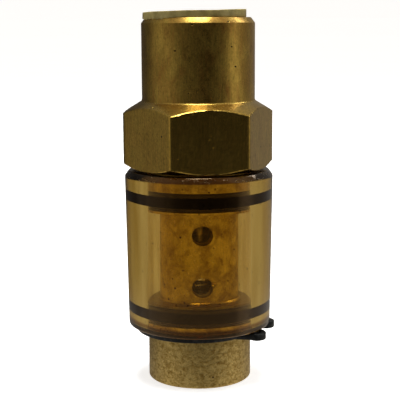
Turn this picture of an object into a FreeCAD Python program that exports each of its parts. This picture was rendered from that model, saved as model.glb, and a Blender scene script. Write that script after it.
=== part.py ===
import FreeCAD, Part
import math
import os

# Sight-glass diverter valve, millimetres. The origin is the centre of the tail's bottom face and
# +Z runs up the valve's axis to the inlet port. Liquid enters the head, passes the strainer and the
# sprung seat, leaves the stem by the upper cross-holes, crosses the clear sleeve's chamber, comes
# back through the lower cross-holes and leaves by the tail.

# ---- driving dimensions ----------------------------------------------------------------------

# turned body, outside
tail_length = 8.95
head_diameter = 20.5
head_height = 14.8
head_chamfer_radial = 0.75
head_chamfer_axial = 1.0
hex_across_flats = 24.0
hex_height = 12.3
hex_angle = 9.6
hex_top_cone_angle = 31.0
hex_bottom_cone_angle = 28.0
hex_base_relief = 0.05
land_diameter = 19.0
stem_diameter = 14.5
upper_land_length = 7.25
lower_land_base = 1.5
land_rim = 0.45
edge_break = 0.25

# sleeve and what holds it
sleeve_length = 28.75
sleeve_top_wall = 3.97
sleeve_bottom_wall = 3.545
sleeve_chamfer_radial = 0.75
sleeve_chamfer_axial = 1.05
sleeve_bottom_break = 0.25
sleeve_mouth_break = 0.35
sleeve_end_play = 0.3
sleeve_seat_gap = 0.05
sleeve_clearance = 0.08
clip_thickness = 1.2
clip_groove_depth = 0.5
clip_back_width = 2.6
clip_end_width = 1.6
clip_lug_reach = 5.05
clip_lug_width = 3.9
clip_hole_diameter = 2.0
clip_gap_angle = -15.75
clip_lug_spread = 17.25

# sleeve seals, squeezed to a flattened section
seal_radial = 2.15
seal_axial = 3.05
seal_corner = 0.6
seal_groove_play = 0.35
seal_bore_gap = 0.02

# cross-holes
cross_hole_diameter = 3.5
cross_hole_angle = -85.5
upper_row_below_land = 4.05
lower_row_above_land = 3.05

# ports and stepped bore
port_wall_diameter = 13.2
port_mouth_chamfer = 0.5
inlet_depth = 12.0
outlet_depth = 8.0
stem_bore_diameter = 9.0
seat_shoulder_width = 0.7
strainer_shoulder_width = 0.4
strainer_bore_length = 2.4
adjuster_shoulder_width = 1.0
seat_shoulder_above_hex_base = 0.75
adjuster_bore_length = 8.0

# port washer
washer_outer_diameter = 18.7
washer_over_port = 1.4
washer_thickness = 1.45
washer_offset = -0.6

# strainer
strainer_rim_height = 1.2
gauze_side_gap = 0.6
gauze_wall = 0.3
gauze_end_gap = 0.4
snap_ring_thickness = 0.9
snap_ring_width = 1.1
snap_groove_depth = 0.5
snap_ring_gap_angle = 24.0

# seat insert
seat_length = 6.0
seat_orifice_diameter = 5.2
seat_nose_side_gap = 0.5
seat_nose_length = 0.6
seat_lip_width = 0.4
seat_lip_height = 0.4
seat_countersink = 1.6
seat_seal_radial = 1.1
seat_seal_axial = 1.6
seat_groove_height = 2.2

# spool
spool_travel = 2.0
spool_land_below_row = 0.4
spool_stem_diameter = 3.8
spool_head_length = 2.3
spool_flute_rim = 0.4
spool_flutes = 3
spool_boss_side_gap = 0.6
spool_boss_length = 1.5
spool_seal_radial = 1.1
spool_seal_axial = 1.5
disc_over_lip = 0.3
disc_thickness = 1.2
disc_recess = 0.5
disc_washer_side_gap = 0.7
disc_washer_thickness = 0.4
screw_shank_diameter = 2.0
screw_shank_length = 6.0
screw_head_diameter = 3.2
screw_head_height = 1.1
screw_slot_width = 0.6
screw_slot_depth = 0.5

# spring and adjuster
spring_wire = 0.8
spring_side_gap = 0.8
spring_turns = 4.5
spring_seat_side_gap = 1.1
spring_seat_flange = 1.0
spring_seat_collar_side_gap = 0.2
spring_seat_collar_height = 1.0
spring_seat_collar_wall = 0.7
adjuster_length = 4.0
adjuster_above_outlet = 0.8
adjuster_socket_flats = 5.0
adjuster_edge_break = 0.4
pad_diameter = 1.8
pad_depth = 1.6

# named clearances
running_clearance = 0.04
seated_clearance = 0.02
groove_clearance = 0.05

# ---- heights and radii that follow -----------------------------------------------------------

land_radius = land_diameter / 2
sleeve_bore_radius = land_radius + sleeve_clearance
clip_groove_radius = land_radius - clip_groove_depth
clip_groove_width = clip_thickness + sleeve_seat_gap
sleeve_bottom = tail_length + clip_groove_width
sleeve_top = sleeve_bottom + sleeve_length
hex_bottom = sleeve_top + sleeve_end_play
hex_top = hex_bottom + hex_height
head_top = hex_top + head_height
seal_groove_width = seal_axial + seal_groove_play
lower_groove_bottom = sleeve_bottom + lower_land_base
lower_groove_top = lower_groove_bottom + seal_groove_width
collar_top = lower_groove_top + land_rim
upper_land_bottom = hex_bottom - upper_land_length
upper_groove_bottom = upper_land_bottom + land_rim
upper_groove_top = upper_groove_bottom + seal_groove_width
seal_outer_radius = sleeve_bore_radius - seal_bore_gap
seal_groove_radius = seal_outer_radius - seal_radial - seated_clearance
upper_row = upper_land_bottom - upper_row_below_land
lower_row = collar_top + lower_row_above_land
port_radius = port_wall_diameter / 2
inlet_floor = head_top - inlet_depth
strainer_shoulder = inlet_floor - strainer_bore_length
seat_shoulder = hex_bottom + seat_shoulder_above_hex_base
adjuster_shoulder = outlet_depth + adjuster_bore_length
stem_bore_radius = stem_bore_diameter / 2
seat_bore_radius = stem_bore_radius + seat_shoulder_width
strainer_bore_radius = seat_bore_radius + strainer_shoulder_width
adjuster_bore_radius = stem_bore_radius + adjuster_shoulder_width
gauze_radius = seat_bore_radius - gauze_side_gap
seat_ring_bottom = seat_shoulder + seat_length + groove_clearance
strainer_ring_bottom = strainer_shoulder + strainer_rim_height + groove_clearance
seat_lip_bottom = seat_shoulder - seat_nose_length - seat_lip_height
disc_radius = seat_orifice_diameter / 2 + seat_lip_width + disc_over_lip
disc_top = seat_lip_bottom - seated_clearance
spool_top = disc_top - disc_thickness + disc_recess
spool_land_top = upper_row - cross_hole_diameter / 2 - spool_land_below_row
spool_land_bottom = lower_row + cross_hole_diameter / 2 + spool_travel
spool_radius = stem_bore_radius - running_clearance
adjuster_bottom = outlet_depth + adjuster_above_outlet
adjuster_top = adjuster_bottom + adjuster_length
adjuster_radius = adjuster_bore_radius - running_clearance
spring_bottom = adjuster_top + seated_clearance + spring_seat_flange
spring_radius = stem_bore_radius - spring_side_gap - spring_wire / 2
spring_inner_radius = spring_radius - spring_wire / 2


# ---- helpers -----------------------------------------------------------------------------------

def turned(corners):
    """Solid of revolution about Z from (radius, height) corners in order."""
    points = [FreeCAD.Vector(r, 0, z) for r, z in corners]
    face = Part.Face(Part.makePolygon(points + points[:1]))
    return face.revolve(FreeCAD.Vector(0, 0, 0), FreeCAD.Vector(0, 0, 1), 360)


def ring(inner, outer, bottom, top):
    """Plain ring about Z."""
    return turned([(inner, bottom), (outer, bottom), (outer, top), (inner, top)])


def hexagon_prism(across_flats, bottom, top, first_corner_angle):
    """Six-sided prism about Z with one corner at the given angle from +X."""
    reach = across_flats / 2 / math.cos(math.radians(30))
    angles = [math.radians(first_corner_angle + 60 * k) for k in range(7)]
    points = [FreeCAD.Vector(reach * math.cos(a), reach * math.sin(a), bottom) for a in angles]
    return Part.Face(Part.makePolygon(points)).extrude(FreeCAD.Vector(0, 0, top - bottom))


def wedge(half_angle, middle_angle, reach, bottom, top):
    """Sector about Z that cuts a ring's gap."""
    centre = FreeCAD.Vector(0, 0, bottom)
    points = [centre]
    for side in (-half_angle, half_angle):
        angle = math.radians(middle_angle + side)
        points.append(FreeCAD.Vector(reach * math.cos(angle), reach * math.sin(angle), bottom))
    return Part.Face(Part.makePolygon(points + [centre])).extrude(FreeCAD.Vector(0, 0, top - bottom))


def rounded_seal(outer, radial, axial, corner, middle):
    """Ring seal whose section is a rectangle with round corners, outer radius and mid-height given."""
    inner = outer - radial
    low = middle - axial / 2
    high = middle + axial / 2
    corners = [(inner, low, 180), (outer, low, 270), (outer, high, 0), (inner, high, 90)]
    edges = []
    for r, z, start in corners:
        cr = r + (corner if r == inner else -corner)
        cz = z + (corner if z == low else -corner)
        arc = []
        for turn in (0, 45, 90):
            angle = math.radians(start + turn)
            arc.append(FreeCAD.Vector(cr + corner * math.cos(angle), 0, cz + corner * math.sin(angle)))
        if edges:
            edges.append(Part.makeLine(edges[-1].lastVertex().Point, arc[0]))
        edges.append(Part.Arc(*arc).toShape())
    edges.append(Part.makeLine(edges[-1].lastVertex().Point, edges[0].firstVertex().Point))
    face = Part.Face(Part.Wire(edges))
    return face.revolve(FreeCAD.Vector(0, 0, 0), FreeCAD.Vector(0, 0, 1), 360)


def split_ring(inner, outer, bottom):
    """Internal snap ring of flat section with an open gap."""
    top = bottom + snap_ring_thickness
    gap = wedge(snap_ring_gap_angle / 2, 90, 2 * outer, bottom - 1, top + 1)
    return ring(inner, outer, bottom, top).cut(gap)


# ---- body --------------------------------------------------------------------------------------

def hexagon():
    """Spanner hexagon, turned off to a cone at each end."""
    corner = hex_across_flats / 2 / math.cos(math.radians(30)) + 1
    head_radius = head_diameter / 2
    base_radius = hex_across_flats / 2 - hex_base_relief
    top_drop = (corner - head_radius) * math.tan(math.radians(hex_top_cone_angle))
    bottom_rise = (corner - base_radius) * math.tan(math.radians(hex_bottom_cone_angle))
    envelope = turned([
        (0, hex_bottom),
        (base_radius, hex_bottom),
        (corner, hex_bottom + bottom_rise),
        (corner, hex_top - top_drop),
        (head_radius, hex_top),
        (0, hex_top),
    ])
    return hexagon_prism(hex_across_flats, hex_bottom, hex_top, hex_angle).common(envelope)


def head():
    """Round head above the hexagon, chamfered at its face."""
    radius = head_diameter / 2
    return turned([
        (0, hex_top),
        (radius, hex_top),
        (radius, head_top - head_chamfer_axial),
        (radius - head_chamfer_radial, head_top),
        (0, head_top),
    ])


def spindle():
    """Tail, retaining-ring groove, two seal lands and the neck between them."""
    stem_radius = stem_diameter / 2
    return turned([
        (0, 0),
        (land_radius - edge_break, 0),
        (land_radius, edge_break),
        (land_radius, tail_length),
        (clip_groove_radius, tail_length),
        (clip_groove_radius, sleeve_bottom),
        (land_radius, sleeve_bottom),
        (land_radius, lower_groove_bottom),
        (seal_groove_radius, lower_groove_bottom),
        (seal_groove_radius, lower_groove_top),
        (land_radius, lower_groove_top),
        (land_radius, collar_top),
        (stem_radius, collar_top),
        (stem_radius, upper_land_bottom),
        (land_radius, upper_land_bottom),
        (land_radius, upper_groove_bottom),
        (seal_groove_radius, upper_groove_bottom),
        (seal_groove_radius, upper_groove_top),
        (land_radius, upper_groove_top),
        (land_radius, hex_bottom),
        (0, hex_bottom),
    ])


def stepped_bore():
    """Everything bored out along the axis, from the outlet port up to the inlet port."""
    return turned([
        (0, 0),
        (port_radius + port_mouth_chamfer, 0),
        (port_radius, port_mouth_chamfer),
        (port_radius, outlet_depth),
        (adjuster_bore_radius, outlet_depth),
        (adjuster_bore_radius, adjuster_shoulder),
        (stem_bore_radius, adjuster_shoulder),
        (stem_bore_radius, seat_shoulder),
        (seat_bore_radius, seat_shoulder),
        (seat_bore_radius, strainer_shoulder),
        (strainer_bore_radius, strainer_shoulder),
        (strainer_bore_radius, inlet_floor),
        (port_radius, inlet_floor),
        (port_radius, head_top - port_mouth_chamfer),
        (port_radius + port_mouth_chamfer, head_top),
        (0, head_top),
    ])


def snap_groove(bore_radius, ring_bottom):
    """Groove for a snap ring in a bore."""
    low = ring_bottom - groove_clearance
    high = ring_bottom + snap_ring_thickness + groove_clearance
    return turned([(0, low), (bore_radius + snap_groove_depth, low),
                   (bore_radius + snap_groove_depth, high), (0, high)])


def cross_hole(height):
    """Hole drilled right through the stem, square to the axis."""
    angle = math.radians(cross_hole_angle)
    direction = FreeCAD.Vector(math.cos(angle), math.sin(angle), 0)
    start = FreeCAD.Vector(0, 0, height) - direction * stem_diameter
    return Part.makeCylinder(cross_hole_diameter / 2, 2 * stem_diameter, start, direction)


def valve_body():
    """The brass body in one piece."""
    solid = spindle().fuse([hexagon(), head()]).removeSplitter()
    cuts = [stepped_bore(), snap_groove(seat_bore_radius, seat_ring_bottom)]
    cuts.append(snap_groove(strainer_bore_radius, strainer_ring_bottom))
    cuts += [cross_hole(height) for height in (lower_row, upper_row)]
    for tool in cuts:
        solid = solid.cut(tool)
    return solid


# ---- sleeve and its seals ----------------------------------------------------------------------

def sight_sleeve():
    """Clear sleeve with a thick wall that narrows slightly towards its lower end."""
    top_radius = sleeve_bore_radius + sleeve_top_wall
    bottom_radius = sleeve_bore_radius + sleeve_bottom_wall
    return turned([
        (sleeve_bore_radius + sleeve_mouth_break, sleeve_bottom),
        (bottom_radius - sleeve_bottom_break, sleeve_bottom),
        (bottom_radius, sleeve_bottom + sleeve_bottom_break),
        (top_radius, sleeve_top - sleeve_chamfer_axial),
        (top_radius - sleeve_chamfer_radial, sleeve_top),
        (sleeve_bore_radius + sleeve_mouth_break, sleeve_top),
        (sleeve_bore_radius, sleeve_top - sleeve_mouth_break),
        (sleeve_bore_radius, sleeve_bottom + sleeve_mouth_break),
    ])


def sleeve_seal(groove_bottom):
    """O-ring squeezed between a body groove and the sleeve's bore."""
    middle = groove_bottom + seal_groove_width / 2
    return rounded_seal(seal_outer_radius, seal_radial, seal_axial, seal_corner, middle)


def clip_lug(angle):
    """One eared end of the retaining ring, with its plier hole."""
    half = clip_lug_width / 2
    inner = clip_groove_radius + clip_end_width / 2
    centre = clip_groove_radius + clip_lug_reach - half
    arm = Part.makeBox(centre - inner, clip_lug_width, clip_thickness, FreeCAD.Vector(inner, -half, 0))
    end = Part.makeCylinder(half, clip_thickness, FreeCAD.Vector(centre, 0, 0))
    hole = Part.makeCylinder(clip_hole_diameter / 2, clip_thickness, FreeCAD.Vector(centre, 0, 0))
    lug = arm.fuse(end).cut(hole)
    lug.rotate(FreeCAD.Vector(0, 0, 0), FreeCAD.Vector(0, 0, 1), angle)
    return lug


def sleeve_circlip():
    """External retaining ring: an eccentric ring, widest opposite its gap, with two lugs."""
    inner = clip_groove_radius + seated_clearance
    outer = inner + (clip_back_width + clip_end_width) / 2
    offset = (clip_back_width - clip_end_width) / 2
    gap = math.radians(clip_gap_angle)
    centre = FreeCAD.Vector(-offset * math.cos(gap), -offset * math.sin(gap), 0)
    reach = clip_groove_radius + clip_lug_reach - clip_lug_width / 2
    lug_half_angle = math.degrees(math.asin(clip_lug_width / 2 / reach))
    solid = Part.makeCylinder(outer, clip_thickness, centre)
    solid = solid.fuse([clip_lug(clip_gap_angle + side * clip_lug_spread) for side in (-1, 1)])
    solid = solid.cut(Part.makeCylinder(inner, clip_thickness))
    solid = solid.cut(wedge(clip_lug_spread - lug_half_angle, clip_gap_angle, 3 * inner, -1,
                            clip_thickness + 1))
    solid.translate(FreeCAD.Vector(0, 0, tail_length + sleeve_seat_gap / 2))
    return solid


def port_washer():
    """Flat sealing washer lying a little off centre on the head's face."""
    low = head_top + seated_clearance
    inner = port_radius + washer_over_port / 2
    washer = ring(inner, washer_outer_diameter / 2, low, low + washer_thickness)
    washer.translate(FreeCAD.Vector(washer_offset, 0, 0))
    return washer


# ---- inlet strainer and seat -------------------------------------------------------------------

def strainer_rim():
    """Brass rim that stands on the strainer shoulder and grips the gauze cup."""
    low = strainer_shoulder + seated_clearance
    return ring(gauze_radius + seated_clearance, strainer_bore_radius - seated_clearance,
                low, low + strainer_rim_height - seated_clearance)


def strainer_gauze():
    """Gauze cup hanging in the seat bore, open at the top."""
    top = strainer_shoulder + strainer_rim_height
    bottom = seat_ring_bottom + snap_ring_thickness + gauze_end_gap
    return turned([
        (0, bottom),
        (gauze_radius - gauze_wall, bottom),
        (gauze_radius, bottom + gauze_wall),
        (gauze_radius, top),
        (gauze_radius - gauze_wall, top),
        (gauze_radius - gauze_wall, bottom + gauze_wall),
        (0, bottom + gauze_wall),
    ])


def snap_ring(bore_radius, bottom):
    """Snap ring sprung out into its groove."""
    outer = bore_radius + snap_groove_depth - groove_clearance
    return split_ring(outer - snap_ring_width, outer, bottom)


def seat_insert():
    """Valve seat: a turned plug with an orifice, a seal groove and a raised lip underneath."""
    outer = seat_bore_radius - seated_clearance
    orifice = seat_orifice_diameter / 2
    nose = stem_bore_radius - seat_nose_side_gap
    low = seat_shoulder + seated_clearance
    top = seat_shoulder + seat_length
    groove_low = seat_shoulder + seat_groove_height
    groove_high = groove_low + seat_seal_axial + 2 * groove_clearance
    groove_radius = outer - seat_seal_radial - seated_clearance
    lip_top = seat_shoulder - seat_nose_length
    return turned([
        (orifice, seat_lip_bottom),
        (orifice + seat_lip_width, seat_lip_bottom),
        (orifice + seat_lip_width, lip_top),
        (nose, lip_top),
        (nose, low),
        (outer, low),
        (outer, groove_low),
        (groove_radius, groove_low),
        (groove_radius, groove_high),
        (outer, groove_high),
        (outer, top),
        (orifice + seat_countersink, top),
        (orifice, top - seat_countersink),
    ])


def seat_insert_seal():
    """O-ring in the seat insert's groove."""
    middle = seat_shoulder + seat_groove_height + seat_seal_axial / 2 + groove_clearance
    return rounded_seal(seat_bore_radius - seated_clearance, seat_seal_radial, seat_seal_axial,
                        seat_seal_radial / 3, middle)


# ---- spool -------------------------------------------------------------------------------------

def spool_flats():
    """Flats that let liquid past the spool's guide head."""
    low = spool_top - spool_head_length
    flats = []
    for k in range(spool_flutes):
        flat = Part.makeBox(stem_bore_radius, stem_bore_diameter, spool_head_length,
                            FreeCAD.Vector(disc_radius + spool_flute_rim, -stem_bore_radius, low))
        flat.rotate(FreeCAD.Vector(0, 0, 0), FreeCAD.Vector(0, 0, 1), 360 / spool_flutes * k)
        flats.append(flat)
    return flats


def diverter_spool():
    """Spool: spring boss, sealed land between the hole rows, stem and fluted guide head."""
    stem = spool_stem_diameter / 2
    seal_low = (spool_land_top + spool_land_bottom - spool_seal_axial) / 2 - groove_clearance
    seal_high = seal_low + spool_seal_axial + 2 * groove_clearance
    seal_floor = spool_radius - spool_seal_radial
    screw_floor = disc_top - screw_shank_length - disc_recess
    recess_radius = disc_radius + groove_clearance
    boss_radius = spring_inner_radius - spool_boss_side_gap
    thread_radius = screw_shank_diameter / 2 + seated_clearance
    solid = turned([
        (0, spool_land_bottom - spool_boss_length),
        (boss_radius, spool_land_bottom - spool_boss_length),
        (boss_radius, spool_land_bottom),
        (spool_radius, spool_land_bottom),
        (spool_radius, seal_low),
        (seal_floor, seal_low),
        (seal_floor, seal_high),
        (spool_radius, seal_high),
        (spool_radius, spool_land_top),
        (stem, spool_land_top),
        (stem, spool_top - spool_head_length),
        (spool_radius, spool_top - spool_head_length),
        (spool_radius, spool_top),
        (recess_radius, spool_top),
        (recess_radius, spool_top - disc_recess),
        (thread_radius, spool_top - disc_recess),
        (thread_radius, screw_floor),
        (0, screw_floor),
    ])
    return solid.cut(spool_flats())


def spool_seal():
    """O-ring on the spool's land."""
    middle = (spool_land_top + spool_land_bottom) / 2
    return rounded_seal(stem_bore_radius - seated_clearance, spool_seal_radial, spool_seal_axial,
                        spool_seal_radial / 3, middle)


def valve_disc():
    """Rubber disc in the spool's recess, under the seat's lip."""
    return ring(screw_shank_diameter / 2 + seated_clearance, disc_radius,
                disc_top - disc_thickness + seated_clearance, disc_top)


def disc_washer():
    """Washer that clamps the disc."""
    low = disc_top + seated_clearance
    outer = seat_orifice_diameter / 2 - disc_washer_side_gap
    return ring(screw_shank_diameter / 2 + seated_clearance, outer, low, low + disc_washer_thickness)


def disc_screw():
    """Slotted cheese-head screw through washer and disc into the spool."""
    seat = disc_top + disc_washer_thickness + 2 * seated_clearance
    top = seat + screw_head_height
    solid = turned([
        (0, disc_top - screw_shank_length),
        (screw_shank_diameter / 2, disc_top - screw_shank_length),
        (screw_shank_diameter / 2, seat),
        (screw_head_diameter / 2, seat),
        (screw_head_diameter / 2, top),
        (0, top),
    ])
    slot = Part.makeBox(screw_head_diameter * 2, screw_slot_width, screw_slot_depth,
                        FreeCAD.Vector(-screw_head_diameter, -screw_slot_width / 2,
                                       top - screw_slot_depth))
    return solid.cut(slot)


# ---- spring and adjuster -----------------------------------------------------------------------

def return_spring():
    """Compression spring with ground ends, from the spring seat to the spool's land."""
    low = spring_bottom + seated_clearance
    high = spool_land_bottom - seated_clearance
    pitch = (high - low) / spring_turns
    helix = Part.makeHelix(pitch, high - low, spring_radius)
    section = Part.Wire(Part.makeCircle(spring_wire / 2, FreeCAD.Vector(spring_radius, 0, 0),
                                        FreeCAD.Vector(0, 1, pitch / (2 * math.pi * spring_radius))))
    coil = Part.Wire(helix.Edges).makePipeShell([section], True, True)
    coil.translate(FreeCAD.Vector(0, 0, low))
    return coil.common(ring(spring_radius - spring_wire, spring_radius + spring_wire, low, high))


def spring_seat():
    """Flanged washer that centres the spring on the adjusting screw."""
    low = adjuster_top + seated_clearance
    flange = adjuster_bore_radius - spring_seat_side_gap
    collar = spring_inner_radius - spring_seat_collar_side_gap
    bore = collar - spring_seat_collar_wall
    return turned([
        (bore, low),
        (flange, low),
        (flange, spring_bottom),
        (collar, spring_bottom),
        (collar, spring_bottom + spring_seat_collar_height),
        (bore, spring_bottom + spring_seat_collar_height),
    ])


def pad_pocket(radius, reach):
    """Radial cylinder in the middle of the adjusting screw's thread."""
    middle = (adjuster_bottom + adjuster_top) / 2
    start = FreeCAD.Vector(0, adjuster_radius - pad_depth, middle)
    return Part.makeCylinder(radius, reach, start, FreeCAD.Vector(0, 1, 0))


def adjusting_screw():
    """Hollow screw with a hexagon socket right through it."""
    solid = turned([
        (0, adjuster_bottom),
        (adjuster_radius - adjuster_edge_break, adjuster_bottom),
        (adjuster_radius, adjuster_bottom + adjuster_edge_break),
        (adjuster_radius, adjuster_top - adjuster_edge_break),
        (adjuster_radius - adjuster_edge_break, adjuster_top),
        (0, adjuster_top),
    ])
    socket = hexagon_prism(adjuster_socket_flats, adjuster_bottom, adjuster_top, 0)
    return solid.cut(socket).cut(pad_pocket(pad_diameter / 2 + seated_clearance, 2 * pad_depth))


def screw_lock_pad():
    """Plastic pad let into the screw's thread."""
    shell = Part.makeCylinder(adjuster_radius, head_top)
    pad = pad_pocket(pad_diameter / 2, 2 * pad_depth)
    pad.translate(FreeCAD.Vector(0, seated_clearance, 0))
    return pad.common(shell)


# ---- write every piece -------------------------------------------------------------------------

pieces = {
    "valve_body": valve_body(),
    "sight_sleeve": sight_sleeve(),
    "upper_sleeve_seal": sleeve_seal(upper_groove_bottom),
    "lower_sleeve_seal": sleeve_seal(lower_groove_bottom),
    "sleeve_circlip": sleeve_circlip(),
    "port_washer": port_washer(),
    "strainer_rim": strainer_rim(),
    "strainer_gauze": strainer_gauze(),
    "strainer_ring": snap_ring(strainer_bore_radius, strainer_ring_bottom),
    "seat_insert": seat_insert(),
    "seat_insert_seal": seat_insert_seal(),
    "seat_ring": snap_ring(seat_bore_radius, seat_ring_bottom),
    "diverter_spool": diverter_spool(),
    "spool_seal": spool_seal(),
    "valve_disc": valve_disc(),
    "disc_washer": disc_washer(),
    "disc_screw": disc_screw(),
    "return_spring": return_spring(),
    "spring_seat": spring_seat(),
    "adjusting_screw": adjusting_screw(),
    "screw_lock_pad": screw_lock_pad(),
}

os.makedirs("parts", exist_ok=True)
for name, shape in pieces.items():
    solid = shape.Solids[0] if len(shape.Solids) == 1 else shape
    if not solid.isValid() or len(shape.Solids) != 1:
        raise ValueError(f"{name} is not one valid solid")
    solid.exportStep(f"parts/{name}.step")
    print(name, round(solid.Volume, 2))
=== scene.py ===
import math

import bmesh
import bpy
import numpy as np
from mathutils import Matrix, Vector


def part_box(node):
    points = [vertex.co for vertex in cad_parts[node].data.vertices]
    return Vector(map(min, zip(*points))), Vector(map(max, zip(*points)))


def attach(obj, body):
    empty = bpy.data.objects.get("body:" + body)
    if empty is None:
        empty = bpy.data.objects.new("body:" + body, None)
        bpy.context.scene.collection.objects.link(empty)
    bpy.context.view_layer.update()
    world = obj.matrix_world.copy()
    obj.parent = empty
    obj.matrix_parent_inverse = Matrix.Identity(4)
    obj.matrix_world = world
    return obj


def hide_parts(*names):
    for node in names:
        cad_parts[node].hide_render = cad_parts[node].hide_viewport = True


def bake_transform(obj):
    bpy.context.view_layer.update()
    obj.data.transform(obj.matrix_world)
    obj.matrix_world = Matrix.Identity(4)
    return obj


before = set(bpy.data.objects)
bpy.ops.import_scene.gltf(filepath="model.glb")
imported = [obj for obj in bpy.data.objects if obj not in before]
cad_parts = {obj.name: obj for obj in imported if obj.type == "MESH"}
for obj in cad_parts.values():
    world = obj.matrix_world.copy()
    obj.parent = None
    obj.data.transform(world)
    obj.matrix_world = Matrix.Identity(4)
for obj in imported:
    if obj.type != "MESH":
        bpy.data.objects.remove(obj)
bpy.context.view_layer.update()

bl_info = {
    "name": "Sight-glass diverter valve",
    "version": (1, 0, 0),
    "blender": (4, 5, 0),
    "location": "3D View > Sidebar > Valve",
    "description": "Builds the finished surfaces of a brass diverter valve round its packed frame",
    "category": "Add Mesh",
}

MM = 0.001
TURN = 2 * math.pi

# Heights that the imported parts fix, in metres.
BODY_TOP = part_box("valve_body")[1].z
SLEEVE_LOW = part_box("sight_sleeve")[0].z
SLEEVE_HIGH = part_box("sight_sleeve")[1].z
HEX_LOW = BODY_TOP - 27.1 * MM
HEX_HIGH = BODY_TOP - 14.8 * MM
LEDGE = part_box("lower_sleeve_seal")[1].z + 0.175 * MM
CLIP_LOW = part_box("sleeve_circlip")[0].z
CLIP_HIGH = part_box("sleeve_circlip")[1].z
RIM_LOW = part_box("strainer_rim")[0].z
RIM_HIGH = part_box("strainer_rim")[1].z
SEAT_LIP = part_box("seat_insert")[0].z
SEAT_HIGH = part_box("seat_insert")[1].z
SPOOL_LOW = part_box("diverter_spool")[0].z
SPOOL_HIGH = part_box("diverter_spool")[1].z
SCREW_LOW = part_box("adjusting_screw")[0].z
SCREW_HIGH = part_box("adjusting_screw")[1].z


# ---- colour and node helpers -------------------------------------------------------------------

def linear(code):
    """Scene-linear RGBA of an sRGB hex colour such as "c9ab5e"."""
    parts = np.array([int(code[k:k + 2], 16) for k in (0, 2, 4)]) / 255
    value = np.where(parts <= 0.04045, parts / 12.92, ((parts + 0.055) / 1.055) ** 2.4)
    return tuple(float(v) for v in value) + (1.0,)


def add(tree, kind, inputs=None, **settings):
    """Adds a node, sets its properties, and fills each input with a value or a (node, output) link."""
    made = tree.nodes.new(kind)
    for name, value in settings.items():
        setattr(made, name, value)
    for key, value in (inputs or {}).items():
        socket = made.inputs[key]
        if isinstance(value, tuple) and len(value) == 2 and isinstance(value[0], bpy.types.Node):
            tree.links.new(value[0].outputs[value[1]], socket)
        else:
            socket.default_value = value
    return made


def new_material(name):
    """Empty node material with its output node."""
    material = bpy.data.materials.new(name)
    material.use_nodes = True
    tree = material.node_tree
    tree.nodes.clear()
    return material, tree, add(tree, "ShaderNodeOutputMaterial")


def grain(size_mm, x=1.0, y=1.0, z=1.0):
    """Mapping scale that makes one unit of a pattern size_mm long, times a stretch along each axis."""
    unit = 1 / (size_mm * MM)
    return unit / x, unit / y, unit / z


# ---- materials ---------------------------------------------------------------------------------

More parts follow.
